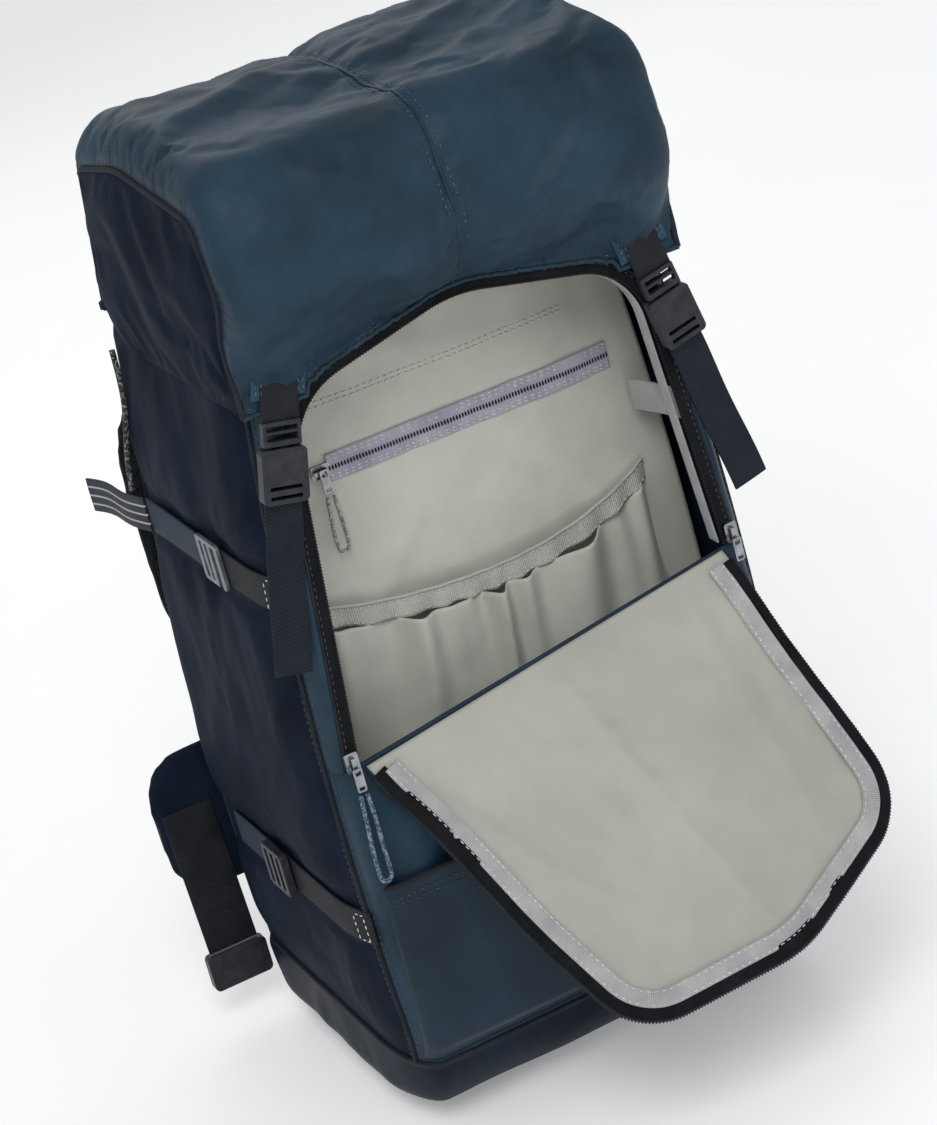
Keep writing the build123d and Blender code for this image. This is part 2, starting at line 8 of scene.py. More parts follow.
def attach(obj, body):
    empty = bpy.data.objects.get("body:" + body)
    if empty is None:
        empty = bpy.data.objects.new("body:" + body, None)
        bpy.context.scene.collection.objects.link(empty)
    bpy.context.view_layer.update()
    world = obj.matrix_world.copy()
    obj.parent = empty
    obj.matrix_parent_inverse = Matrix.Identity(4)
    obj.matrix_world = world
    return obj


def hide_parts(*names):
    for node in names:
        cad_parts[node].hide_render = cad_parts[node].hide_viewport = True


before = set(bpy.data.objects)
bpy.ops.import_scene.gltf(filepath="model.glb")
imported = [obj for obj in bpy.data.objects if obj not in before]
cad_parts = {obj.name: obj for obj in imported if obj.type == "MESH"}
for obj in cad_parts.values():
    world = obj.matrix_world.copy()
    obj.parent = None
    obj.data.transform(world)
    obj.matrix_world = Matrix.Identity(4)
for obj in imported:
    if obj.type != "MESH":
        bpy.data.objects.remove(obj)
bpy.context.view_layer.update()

# Sizes are in millimetres, as in the frame's own design, and MM turns them to metres.
MM = 0.001
FRONT_Y = -140.0
BODY_TOP = 578.0
BASE_SEAM = 66.0
FRONT_BOTTOM_R = 105.0
BACK_BOTTOM_R = 28.0
SIDE_BOTTOM_R = 30.0
FRONT_CORNER_W = 20.0    # the front turns into the sides over this width
FRONT_CORNER_D = 58.0    # and this depth, as an ellipse
BACK_CORNER_R = 22.0
LID_HEM = 541.0
HINGE_Z = 566.0
DIVIDER_Y = -50.0
FOLD_Z = 314.0
FOLD_SLANT = math.radians(8.3)
DOOR_ANGLE = math.radians(144.0)
UPPER_STRAP_Z = 416.0
LOWER_STRAP_Z = 176.0
WEB_W = 25.0
SIDES = (-1, 1)
SIDE_NAMES = {-1: "left", 1: "right"}


# ---------------------------------------------------------------- shape of the pack


def circle_through(p, q, r):
    """Centre and radius of the circle through three points of a plane."""
    (x1, y1), (x2, y2), (x3, y3) = p, q, r
    d = 2 * (x1 * (y2 - y3) + x2 * (y3 - y1) + x3 * (y1 - y2))
    s1, s2, s3 = x1 * x1 + y1 * y1, x2 * x2 + y2 * y2, x3 * x3 + y3 * y3
    cx = (s1 * (y2 - y3) + s2 * (y3 - y1) + s3 * (y1 - y2)) / d
    cy = (s1 * (x3 - x2) + s2 * (x1 - x3) + s3 * (x2 - x1)) / d
    return cx, cy, math.hypot(x1 - cx, y1 - cy)


WIDTH_ARC = circle_through((152, 0), (165, 260), (139.4, 609))


def rounding(z, radius):
    """How far a rounded bottom edge draws in at a height."""
    if z >= radius:
        return 0.0
    return radius - math.sqrt(max(radius * radius - (radius - z) ** 2, 0.0))


def half_width(z):
    cx, cz, r = WIDTH_ARC
    return cx + math.sqrt(r * r - (z - cz) ** 2) - rounding(z, SIDE_BOTTOM_R)


def front_y(z):
    return FRONT_Y + rounding(z, FRONT_BOTTOM_R)


def back_y(z):
    return 140.0 - 37.0 * (z - 60.0) / 518.0 - rounding(z, BACK_BOTTOM_R)


def section(t, z, lift=0.0):
    """Point on the body's outline at a height: t is 0 at the front's middle and 5 at the back's middle."""
    w, y0, y1 = half_width(z), front_y(z), back_y(z)
    cw, cd, rb = FRONT_CORNER_W, FRONT_CORNER_D, BACK_CORNER_R
    if t <= 1:
        return Vector((t * (w - cw), y0 - lift, z))
    if t <= 2:
        a = (t - 1) * math.pi / 2
        out = Vector((math.sin(a) / cw, math.cos(a) / cd)).normalized() * lift
        return Vector((w - cw + cw * math.sin(a) + out.x, y0 + cd - cd * math.cos(a) - out.y, z))
    if t <= 3:
        return Vector((w + lift, y0 + cd + (t - 2) * (y1 - rb - y0 - cd), z))
    if t <= 4:
        a = (t - 3) * math.pi / 2
        return Vector((w - rb + (rb + lift) * math.cos(a), y1 - rb + (rb + lift) * math.sin(a), z))
    return Vector(((5 - t) * (w - rb), y1 + lift, z))


def body_point(side, t, z, lift=0.0):
    p = section(t, z, lift)
    return Vector((side * p.x, p.y, p.z))


def t_at_y(y, z):
    """The outline's t for a place on the side of the body."""
    y0, y1 = front_y(z) + FRONT_CORNER_D, back_y(z) - BACK_CORNER_R
    if y < y0:
        return 1 + math.acos(min((y0 - y) / FRONT_CORNER_D, 1.0)) * 2 / math.pi
    return 2 + (y - y0) / (y1 - y0)


# The door's outline: a crown, two shoulders and two low corners, joined by tangents.
DOOR_ARCS = ((126.0, 240.0, 20.0), (74.0, 497.0, 50.0), (0.0, 473.0, 90.0))


def door_outline(grow, steps=24):
    """Half outline of the door from the right low corner to the crown, as (x, z) points at even steps."""
    corners = []
    for (x0, z0, r0), (x1, z1, r1) in zip(DOOR_ARCS, DOOR_ARCS[1:]):
        d = math.hypot(x1 - x0, z1 - z0)
        along = math.atan2(z1 - z0, x1 - x0)
        normal = along - math.pi / 2 + math.asin((r0 - r1) / d)
        n = (math.cos(normal), math.sin(normal))
        normal = math.atan2(n[1], n[0])
        corners.append(((x0 + (r0 + grow) * n[0], z0 + (r0 + grow) * n[1]), normal, (x1, z1, r1)))
    points = [corners[0][0]]
    for (_, normal, (cx, cz, r)), following in zip(corners, [corners[1][1], math.pi / 2]):
        for i in range(13):
            a = normal + (following - normal) * i / 12
            points.append((cx + (r + grow) * math.cos(a), cz + (r + grow) * math.sin(a)))
    lengths = [0.0]
    for a, b in zip(points, points[1:]):
        lengths.append(lengths[-1] + math.hypot(b[0] - a[0], b[1] - a[1]))
    even = []
    for i in range(steps + 1):
        s = lengths[-1] * i / steps
        k = max(j for j in range(len(lengths)) if lengths[j] <= s + 1e-6)
        k = min(k, len(points) - 2)
        f = (s - lengths[k]) / max(lengths[k + 1] - lengths[k], 1e-9)
        even.append((points[k][0] + f * (points[k + 1][0] - points[k][0]),
                     points[k][1] + f * (points[k + 1][1] - points[k][1])))
    return even


def fold_height(x):
    return FOLD_Z + math.tan(FOLD_SLANT) * x


def door_loop(grow, raised=0.0, steps=120):
    """Points (x, z) of the door's outline over the fold line, from the left round the crown to the right."""
    half = door_outline(grow, 160)
    whole = [(-x, z) for x, z in half] + [(x, z) for x, z in reversed(half[:-1])]
    kept = [p for p in whole if p[1] > fold_height(p[0]) + raised]
    lengths = [0.0]
    for a, b in zip(kept, kept[1:]):
        lengths.append(lengths[-1] + math.hypot(b[0] - a[0], b[1] - a[1]))
    even, k = [], 0
    for i in range(steps + 1):
        s = lengths[-1] * i / steps
        while k < len(kept) - 2 and lengths[k + 1] < s:
            k += 1
        f = (s - lengths[k]) / max(lengths[k + 1] - lengths[k], 1e-9)
        even.append((kept[k][0] + f * (kept[k + 1][0] - kept[k][0]), kept[k][1] + f * (kept[k + 1][1] - kept[k][1])))
    return even


FOLD_ORIGIN = Vector((0, FRONT_Y, FOLD_Z))
FOLD_AXIS = Vector((math.cos(FOLD_SLANT), 0, math.sin(FOLD_SLANT)))
OPENING_TURN = Matrix.Rotation(DOOR_ANGLE, 3, FOLD_AXIS)


def opened(p):
    """Where a point of the closed door lies when the door hangs open."""
    return FOLD_ORIGIN + OPENING_TURN @ (Vector(p) - FOLD_ORIGIN)


# ---------------------------------------------------------------- making pieces


def smooth(a, b, x):
    t = min(max((x - a) / (b - a), 0.0), 1.0)
    return t * t * (3 - 2 * t)


def crease(p, a, b, width, depth):
    """Height of a soft fold that runs from a to b, fading at its ends."""
    ab = b - a
    f = (p - a).dot(ab) / ab.length_squared
    if f < -0.15 or f > 1.15:
        return 0.0
    d = (p - (a + ab * min(max(f, 0.0), 1.0))).length
    fade = smooth(-0.15, 0.2, f) * (1 - smooth(0.75, 1.15, f))
    return depth * math.exp(-((d / width) ** 2)) * fade


def ripple(p, scale, amount, seed=0.0):
    """Slow uneven waves of slack cloth."""
    q = Vector(p) / scale + Vector((seed, seed * 1.7, seed * 0.6))
    return amount * (noise.noise(q) + 0.45 * noise.noise(q * 2.3) + 0.2 * noise.noise(q * 5.1))


def new_object(name, mesh_or_curve, body, material):
    obj = bpy.data.objects.new(name, mesh_or_curve)
    bpy.context.scene.collection.objects.link(obj)
    obj.data.materials.append(material)
    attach(obj, body)
    return obj


def shade_smooth(mesh):
    for polygon in mesh.polygons:
        polygon.use_smooth = True


class Panel:
    """A panel of cloth: a grid whose corners are placed by a function of u and v, both 0 to 1."""

    def __init__(self, name, nu, nv, place, body, material, slot, out):
        self.nu, self.nv, self.out = nu, nv, out
        bm = bmesh.new()
        bmesh.ops.create_grid(bm, x_segments=nu, y_segments=nv, size=0.5)
        uv = bm.loops.layers.uv.new("cloth")
        bm.verts.ensure_lookup_table()
        spots = [(v.co.x + 0.5, v.co.y + 0.5) for v in bm.verts]
        self.index = {(round(u * nu), round(w * nv)): i for i, (u, w) in enumerate(spots)}
        for v, (u, w) in zip(bm.verts, spots):
            v.co = Vector(place(u, w)) * MM
        wide = sum((self._gap(bm, i, nv // 2, 1, 0) for i in range(nu)))
        tall = sum((self._gap(bm, nu // 2, j, 0, 1) for j in range(nv)))
        for face in bm.faces:
            for loop in face.loops:
                u, w = spots[loop.vert.index]
                loop[uv].uv = (u * wide, w * tall)
        bm.normal_update()
        middle = min(bm.faces, key=lambda f: sum(abs(spots[v.index][0] - 0.5) + abs(spots[v.index][1] - 0.5)
                                                 for v in f.verts))
        if middle.normal.dot(Vector(out)) < 0:
            bmesh.ops.reverse_faces(bm, faces=bm.faces)
        mesh = bpy.data.meshes.new(name)
        bm.to_mesh(mesh)
        bm.free()
        shade_smooth(mesh)
        self.size = (wide, tall)
        self.obj = new_object(name, mesh, body, material)

    def _gap(self, bm, i, j, di, dj):
        a, b = bm.verts[self.index[(i, j)]], bm.verts[self.index[(i + di, j + dj)]]
        return (a.co - b.co).length

    def at(self, u, w, lift=0.0):
        """Point on the finished panel, in metres, lifted off its outer face by millimetres."""
        verts = self.obj.data.vertices
        x, y = min(max(u, 0), 1) * self.nu, min(max(w, 0), 1) * self.nv
        i, j = min(int(x), self.nu - 1), min(int(y), self.nv - 1)
        fx, fy = x - i, y - j
        c = [verts[self.index[(i + a, j + b)]].co for a in (0, 1) for b in (0, 1)]
        p = (c[0] * (1 - fx) + c[2] * fx) * (1 - fy) + (c[1] * (1 - fx) + c[3] * fx) * fy
        normal = (c[2] - c[0] + c[3] - c[1]).cross(c[1] - c[0] + c[3] - c[2])
        if normal.length < 1e-12:
            return p
        normal.normalize()
        if normal.dot(Vector(self.out)) < 0:
            normal.negate()
        return p + normal * lift * MM

    def border(self, keep):
        """Pins the corners where keep(u, v) is true, for the cloth's settling."""
        group = self.obj.vertex_groups.new(name="sewn")
        for (i, j), k in self.index.items():
            if keep(i / self.nu, j / self.nv):
                group.add([k], 1.0, "REPLACE")
        return self


def edge_pins(u, w):
    return u < 0.001 or u > 0.999 or w < 0.001 or w > 0.999


slack_panels = []


def slacken(panel, grow, pressure, cap, bending=0.6, pins=edge_pins):
    """Lists a panel to be settled as cloth that is a little too large for its seams."""
    panel.border(pins)
    cloth = panel.obj.modifiers.new("cloth", "CLOTH")
    settings = cloth.settings
    settings.quality = 6
    settings.mass = 0.25
    settings.tension_stiffness = 18
    settings.compression_stiffness = 18
    settings.shear_stiffness = 6
    settings.bending_stiffness = bending
    settings.air_damping = 6
    settings.shrink_min = -grow
    settings.use_pressure = pressure != 0
    settings.uniform_pressure_force = pressure
    settings.vertex_group_mass = "sewn"
    settings.effector_weights.gravity = 0.0
    cloth.collision_settings.use_self_collision = False
    cloth.point_cache.frame_start = 1
    cloth.point_cache.frame_end = SETTLE_FRAMES
    slack_panels.append((panel, cap))
    return panel


SETTLE_FRAMES = 18


def settle_cloth():
    """Steps the cloth once for every listed panel, caps how far it went and keeps the result."""
    scene = bpy.context.scene
    for step in range(1, SETTLE_FRAMES + 1):
        scene.frame_set(step)
    depsgraph = bpy.context.evaluated_depsgraph_get()
    for panel, cap in slack_panels:
        found = panel.obj.evaluated_get(depsgraph).data
        ends = [v.co.copy() for v in found.vertices]
        for v, end in zip(panel.obj.data.vertices, ends):
            move = end - v.co
            if move.length > cap * MM:
                move *= cap * MM / move.length
            v.co += move
        panel.obj.modifiers.remove(panel.obj.modifiers["cloth"])
        panel.obj.data.update()
    scene.frame_set(1)


def thicken(obj, thickness, offset=-1.0):
    solid = obj.modifiers.new("thickness", "SOLIDIFY")
    solid.thickness = thickness * MM
    solid.offset = offset
    solid.use_even_offset = False
    return obj


def subdivide(obj, levels):
    mod = obj.modifiers.new("rounding", "SUBSURF")
    mod.levels = levels
    mod.render_levels = levels
    return obj


def tube(name, points, radius, body, material, closed=False, resolution=3):
    """Piping, a rolled edge or a cord along points in metres."""
    curve = bpy.data.curves.new(name, "CURVE")
    curve.dimensions = "3D"
    curve.bevel_depth = radius * MM
    curve.bevel_resolution = resolution
    curve.use_fill_caps = True
    spline = curve.splines.new("POLY")
    spline.points.add(len(points) - 1)
    for target, p in zip(spline.points, points):
        target.co = (*p, 1.0)
    spline.use_cyclic_u = closed
    spline.use_smooth = True
    return new_object(name, curve, body, material)


def ribbon(name, points, outs, width, thickness, body, material, across=None, round_edges=True):
    """Webbing or tape along points in metres. outs are its outward directions, width and thickness in mm."""
    n = len(points) - 1
    bm = bmesh.new()
    bmesh.ops.create_grid(bm, x_segments=n, y_segments=4, size=0.5)
    uv = bm.loops.layers.uv.new("cloth")
    spots = {v: (round((v.co.x + 0.5) * n), v.co.y + 0.5) for v in bm.verts}
    run = [0.0]
    for a, b in zip(points, points[1:]):
        run.append(run[-1] + (b - a).length)
    for v, (i, w) in spots.items():
        ahead = points[min(i + 1, n)] - points[max(i - 1, 0)]
        sideways = across if across is not None else ahead.cross(outs[i])
        sideways = sideways.normalized()
        crown = 0.12 * thickness * (1 - (2 * w - 1) ** 2)
        v.co = points[i] + sideways * (w - 0.5) * width * MM + outs[i].normalized() * crown * MM
    for face in bm.faces:
        for loop in face.loops:
            i, w = spots[loop.vert]
            loop[uv].uv = (run[i], w * width * MM)
    bm.normal_update()
    face = next(f for f in bm.faces if all(spots[v][0] in (n // 2, n // 2 + 1) for v in f.verts))
    if face.normal.dot(outs[n // 2]) < 0:
        bmesh.ops.reverse_faces(bm, faces=bm.faces)
    mesh = bpy.data.meshes.new(name)
    bm.to_mesh(mesh)
    bm.free()
    shade_smooth(mesh)
    obj = new_object(name, mesh, body, material)
    thicken(obj, thickness, 0.0)
    if round_edges:
        bevel = obj.modifiers.new("edge", "BEVEL")
        bevel.width = 0.35 * thickness * MM
        bevel.segments = 2
        bevel.limit_method = "ANGLE"
    return obj


STITCH = 3.4             # visible length of one stitch
STITCH_GAP = 1.5


def stitches(name, rows, body, material, radius=0.38):
    """Lock stitches along rows of points in metres, as small lozenges that lie on the cloth."""
    bm = bmesh.new()
    for row in rows:
        run = 0.0
        start = STITCH_GAP * MM
        for a, b in zip(row, row[1:]):
            length = (b - a).length
            if length < 1e-7:
                continue
            direction = (b - a) / length
            while start < run + length:
                middle = a + direction * (start - run)
                turn = direction.to_track_quat("X", "Z").to_matrix().to_4x4()
                size = Matrix.Diagonal((STITCH * MM / 2, radius * MM, radius * MM, 1))
                bmesh.ops.create_icosphere(
                    bm, subdivisions=1, radius=1.0, matrix=Matrix.Translation(middle) @ turn @ size
                )
                start += (STITCH + STITCH_GAP) * MM
            run += length
    mesh = bpy.data.meshes.new(name)
    bm.to_mesh(mesh)
    bm.free()
    shade_smooth(mesh)
    return new_object(name, mesh, body, material)


# ---------------------------------------------------------------- materials


def srgb(hex_colour):
    """Linear colour with alpha of an sRGB hex value."""
    values = [int(hex_colour[i : i + 2], 16) / 255 for i in (1, 3, 5)]
    linear = [v / 12.92 if v <= 0.04045 else ((v + 0.055) / 1.055) ** 2.4 for v in values]
    return (*linear, 1.0)


def add(tree, kind, settings=None, links=None):
    """Adds a node, with its own properties or socket values, and links into its sockets."""
    node = tree.nodes.new("ShaderNode" + kind)
    for key, value in (settings or {}).items():
        if isinstance(key, str) and hasattr(node, key):
            setattr(node, key, value)
        else:
            node.inputs[key].default_value = value
    for key, source in (links or {}).items():
        tree.links.new(source, node.inputs[key])
    return node


def material(name, **shader):
    """A new material with its tree and its shader, whose plain sockets are given by name."""
    made = bpy.data.materials.new(name)
    made.use_nodes = True
    tree = made.node_tree
    bsdf = tree.nodes["Principled BSDF"]
    for key, value in shader.items():
        bsdf.inputs[key.replace("_", " ").title().replace("Ior", "IOR")].default_value = value
    return made, tree, bsdf


def per_period(millimetres):
    """Scale that gives a Wave texture bands of this period."""
    return 2 * math.pi / 20 / (millimetres * MM)


def per_cell(millimetres):
    """Scale that gives a Noise or Voronoi texture cells of this size."""
    return 1 / (millimetres * MM)


def woven(name, dark, light, thread, depth, blotch=70, on_uv=True, turn=0.0, **shader):
    """Cloth: warp and weft threads in the bump, and slow changes of tone from handling."""
    made, tree, bsdf = material(name, **shader)
    if on_uv:
        place = add(tree, "UVMap", {"uv_map": "cloth"}).outputs["UV"]
    else:
        place = add(tree, "TexCoord").outputs["Object"]
    turned = add(tree, "Mapping", {"Rotation": (0, 0, turn)}, {"Vector": place}).outputs["Vector"]
    warp = add(tree, "TexWave", {"bands_direction": "X", "Scale": per_period(thread), "Distortion": 0.6,
                                 "Detail": 1.0, "Detail Scale": 0.4}, {"Vector": turned})
    weft = add(tree, "TexWave", {"bands_direction": "Y" if on_uv else "Z", "Scale": per_period(thread),
                                 "Distortion": 0.6, "Detail": 1.0, "Detail Scale": 0.4}, {"Vector": turned})
    threads = add(tree, "Math", {"operation": "MULTIPLY"}, {0: warp.outputs["Fac"], 1: weft.outputs["Fac"]})
    slow = add(tree, "TexNoise", {"Scale": per_cell(blotch), "Detail": 5.0, "Roughness": 0.6},
               {"Vector": add(tree, "TexCoord").outputs["Object"]})
    fine = add(tree, "TexNoise", {"Scale": per_cell(1.6), "Detail": 2.0}, {"Vector": place})
    tone = add(tree, "Math", {"operation": "MULTIPLY_ADD", 1: 0.16}, {0: threads.outputs[0], 2: slow.outputs["Fac"]})
    spread = add(tree, "MapRange", {"From Min": 0.3, "From Max": 0.78}, {"Value": tone.outputs[0]})
    colour = add(tree, "Mix", {"data_type": "RGBA", 6: srgb(dark), 7: srgb(light)}, {0: spread.outputs["Result"]})
    relief = add(tree, "Math", {"operation": "MULTIPLY_ADD", 1: 0.5}, {0: fine.outputs["Fac"], 2: threads.outputs[0]})
    bump = add(tree, "Bump", {"Distance": depth * MM, "Strength": 1.0}, {"Height": relief.outputs[0]})
    tree.links.new(colour.outputs[2], bsdf.inputs["Base Color"])
    tree.links.new(bump.outputs["Normal"], bsdf.inputs["Normal"])
    return made


def ribbed(name, dark, light, rib, depth, slant=0.0, stripes=None, **shader):
    """Webbing, grosgrain or elastic: raised ribs across its length."""
    made, tree, bsdf = material(name, **shader)
    place = add(tree, "UVMap", {"uv_map": "cloth"}).outputs["UV"]
    turned = add(tree, "Mapping", {"Rotation": (0, 0, slant)}, {"Vector": place}).outputs["Vector"]
    ribs = add(tree, "TexWave", {"bands_direction": "X", "Scale": per_period(rib), "Distortion": 0.8,
                                 "Detail": 2.0, "Detail Scale": 0.6}, {"Vector": turned})
    yarn = add(tree, "TexWave", {"bands_direction": "Y", "Scale": per_period(rib * 0.8), "Distortion": 0.5},
               {"Vector": turned})
    both = add(tree, "Math", {"operation": "MULTIPLY_ADD", 1: 0.45}, {0: yarn.outputs["Fac"], 2: ribs.outputs["Fac"]})
    wear = add(tree, "TexNoise", {"Scale": per_cell(22), "Detail": 4.0}, {"Vector": place})
    tone = add(tree, "Math", {"operation": "MULTIPLY_ADD", 1: 0.4}, {0: both.outputs[0], 2: wear.outputs["Fac"]})
    spread = add(tree, "MapRange", {"From Min": 0.35, "From Max": 1.1}, {"Value": tone.outputs[0]})
    colour = add(tree, "Mix", {"data_type": "RGBA", 6: srgb(dark), 7: srgb(light)}, {0: spread.outputs["Result"]})
    shown = colour.outputs[2]
    if stripes:
        across = add(tree, "SeparateXYZ", links={"Vector": place}).outputs["Y"]
        for centre, width, stripe in stripes:
            off = add(tree, "Math", {"operation": "SUBTRACT", 1: centre * MM}, {0: across})
            far = add(tree, "Math", {"operation": "ABSOLUTE"}, {0: off.outputs[0]})
            inside = add(tree, "Math", {"operation": "LESS_THAN", 1: width * MM / 2}, {0: far.outputs[0]})
            shown = add(tree, "Mix", {"data_type": "RGBA", 7: srgb(stripe)}, {0: inside.outputs[0], 6: shown}).outputs[2]
    bump = add(tree, "Bump", {"Distance": depth * MM, "Strength": 1.0}, {"Height": both.outputs[0]})
    tree.links.new(shown, bsdf.inputs["Base Color"])
    tree.links.new(bump.outputs["Normal"], bsdf.inputs["Normal"])
    return made


def spacer_mesh(name, dark, light, cell, **shader):
    """Open knitted mesh over foam: a net of round holes, painted darker than the yarn as painted shade inside them."""
    made, tree, bsdf = material(name, **shader)
    place = add(tree, "TexCoord").outputs["Object"]
    cells = add(tree, "TexVoronoi", {"Scale": per_cell(cell), "Randomness": 0.25}, {"Vector": place})
    holes = add(tree, "MapRange", {"From Min": 0.15, "From Max": 0.5}, {"Value": cells.outputs["Distance"]})
    slow = add(tree, "TexNoise", {"Scale": per_cell(50), "Detail": 4.0}, {"Vector": place})
    tone = add(tree, "Math", {"operation": "MULTIPLY"}, {0: holes.outputs["Result"], 1: slow.outputs["Fac"]})
    # The holes take the dark colour: painted shade in the knit's openings.
    colour = add(tree, "Mix", {"data_type": "RGBA", 6: srgb(dark), 7: srgb(light)}, {0: tone.outputs[0]})
    bump = add(tree, "Bump", {"Distance": 0.6 * MM, "Strength": 1.0}, {"Height": holes.outputs["Result"]})
    tree.links.new(colour.outputs[2], bsdf.inputs["Base Color"])
    tree.links.new(bump.outputs["Normal"], bsdf.inputs["Normal"])
    return made


def speckled(name, dark, light, speck, depth, share=0.45, **shader):
    """Braided sheath or thread: short yarns of two tones that cross each other."""
    made, tree, bsdf = material(name, **shader)
    place = add(tree, "TexCoord").outputs["Object"]
    yarns = add(tree, "TexVoronoi", {"Scale": per_cell(speck)}, {"Vector": place})
    pick = add(tree, "SeparateColor", links={"Color": yarns.outputs["Color"]})
    step = add(tree, "MapRange", {"From Min": share, "From Max": share + 0.25}, {"Value": pick.outputs["Red"]})
    colour = add(tree, "Mix", {"data_type": "RGBA", 6: srgb(dark), 7: srgb(light)}, {0: step.outputs["Result"]})
    bump = add(tree, "Bump", {"Distance": depth * MM, "Strength": 1.0, "invert": True},
               {"Height": yarns.outputs["Distance"]})
    tree.links.new(colour.outputs[2], bsdf.inputs["Base Color"])
    tree.links.new(bump.outputs["Normal"], bsdf.inputs["Normal"])
    return made


def moulded(name, dark, light, grain, depth, smooth_rough, worn_rough, **shader):
    """Moulded plastic or cast metal: a fine spark texture, and a shine that handling has made uneven."""
    made, tree, bsdf = material(name, **shader)
    place = add(tree, "TexCoord").outputs["Object"]
    slow = add(tree, "TexNoise", {"Scale": per_cell(9), "Detail": 6.0, "Roughness": 0.65}, {"Vector": place})
    spark = add(tree, "TexNoise", {"Scale": per_cell(grain), "Detail": 2.0}, {"Vector": place})
    spread = add(tree, "MapRange", {"From Min": 0.35, "From Max": 0.7}, {"Value": slow.outputs["Fac"]})
    colour = add(tree, "Mix", {"data_type": "RGBA", 6: srgb(dark), 7: srgb(light)}, {0: spread.outputs["Result"]})
    shine = add(tree, "MapRange", {"From Min": 0.3, "From Max": 0.75, "To Min": smooth_rough, "To Max": worn_rough},
                {"Value": slow.outputs["Fac"]})
    bump = add(tree, "Bump", {"Distance": depth * MM, "Strength": 1.0}, {"Height": spark.outputs["Fac"]})
    tree.links.new(colour.outputs[2], bsdf.inputs["Base Color"])
    tree.links.new(shine.outputs["Result"], bsdf.inputs["Roughness"])
    tree.links.new(bump.outputs["Normal"], bsdf.inputs["Normal"])
    return made


# Threads are 0.3 to 0.5 mm apart on the real cloths, and are drawn at about 1 mm so that they show.
# Polyurethane-coated nylon, plain weave: a soft sheen on a slate blue that pales where it is rubbed.
BLUE_NYLON = woven("coated_nylon_slate_blue", "#152530", "#263f51", 1.5, 0.10,
                   roughness=0.5, specular_ior_level=0.16)
# The same cloth dyed charcoal, duller because its weave is heavier.
DARK_NYLON = woven("coated_nylon_charcoal", "#0d1420", "#1c2636", 1.6, 0.12,
                   roughness=0.55, specular_ior_level=0.02)
# Calendered nylon of the lower pocket and base, nearly black, with a glossier face.
NAVY_NYLON = woven("calendered_nylon_navy", "#0e1520", "#1b2534", 1.5, 0.08,
                   roughness=0.42, specular_ior_level=0.03)
# The lower pocket's cloth is the slate blue with the same glossy face.
POCKET_NYLON = woven("calendered_nylon_slate", "#0f1c28", "#1c3040", 1.5, 0.08,
                     roughness=0.36, specular_ior_level=0.2)
# Light grey polyester lining, thin and matt with a faint warm cast.
LINING = woven("polyester_lining_grey", "#b4b4aa", "#cdccc3", 1.5, 0.05, blotch=110,
               roughness=0.75, sheen_weight=0.25, sheen_roughness=0.6, specular_ior_level=0.25)
# The same lining on the open flap, smoother, with a coated face; its grey is set darker than the lining inside, as
# painted shade.
DOOR_LINING_PAINTED_SHADE = woven("coated_lining_grey_painted_shade", "#98988f", "#acaca3", 1.5, 0.04, blotch=140,
                    roughness=0.5, sheen_weight=0.08, sheen_roughness=0.5, specular_ior_level=0.35)
# Polypropylene webbing: stiff flat ribs with a low plastic sheen.
BLACK_WEBBING = ribbed("polypropylene_webbing_black", "#0e1013", "#26292f", 1.8, 0.3, slant=0.5,
                       roughness=0.6, specular_ior_level=0.14)
NAVY_WEBBING = ribbed("polypropylene_webbing_navy", "#0c1017", "#1e2530", 2.2, 0.35, slant=0.6,
                      roughness=0.55, specular_ior_level=0.14)
BLUE_WEBBING = ribbed("polypropylene_webbing_slate", "#18222e", "#29394a", 1.8, 0.3, slant=0.0,
                      roughness=0.6, specular_ior_level=0.15)
STRIPED_WEBBING = ribbed("polypropylene_webbing_striped", "#1f2227", "#42464e", 1.8, 0.3, slant=0.0,
                         stripes=((6.0, 1.4, "#a9acb0"), (12.5, 1.4, "#a9acb0"), (19.0, 1.4, "#a9acb0")),
                         roughness=0.62, specular_ior_level=0.15)
# Polyester grosgrain that binds the raw edges: close ribs across a matt tape.
GREY_GROSGRAIN = ribbed("polyester_grosgrain_grey", "#86878a", "#b9bab8", 1.3, 0.25,
                        roughness=0.8, sheen_weight=0.2, specular_ior_level=0.2)
DARK_GROSGRAIN = ribbed("polyester_grosgrain_charcoal", "#13161b", "#272b32", 1.3, 0.25,
                        roughness=0.75, specular_ior_level=0.1)
# Woven elastic: rubber cores under a grey cover that bunches into small ribs.
ELASTIC = ribbed("woven_elastic_grey", "#a5a49d", "#d3d2cb", 1.6, 0.4,
                 roughness=0.8, sheen_weight=0.2, specular_ior_level=0.2)
# Knitted polyester zip tape, flatter than webbing, and the nylon coil sewn on it.
BLACK_TAPE = woven("knitted_zip_tape_black", "#08090b", "#191b1f", 1.4, 0.12, blotch=25,
                   roughness=0.75, specular_ior_level=0.1)
LILAC_TAPE = woven("knitted_zip_tape_lilac_grey", "#8f8e9c", "#b4b2bf", 0.9, 0.12, blotch=25,
                   roughness=0.8, sheen_weight=0.2, specular_ior_level=0.2)
NYLON_COIL = moulded("nylon_coil_black", "#08090a", "#16181b", 0.8, 0.02, 0.35, 0.5, specular_ior_level=0.25)
# Bonded polyester sewing thread.
PALE_THREAD = speckled("polyester_thread_pale", "#c9c8c2", "#f0efea", 0.5, 0.05, roughness=0.6)
DARK_THREAD = speckled("polyester_thread_charcoal", "#2c2f36", "#5a5f69", 0.5, 0.05, roughness=0.6)
BLUE_THREAD = speckled("polyester_thread_slate", "#1f303e", "#5c7488", 0.5, 0.05, roughness=0.6)
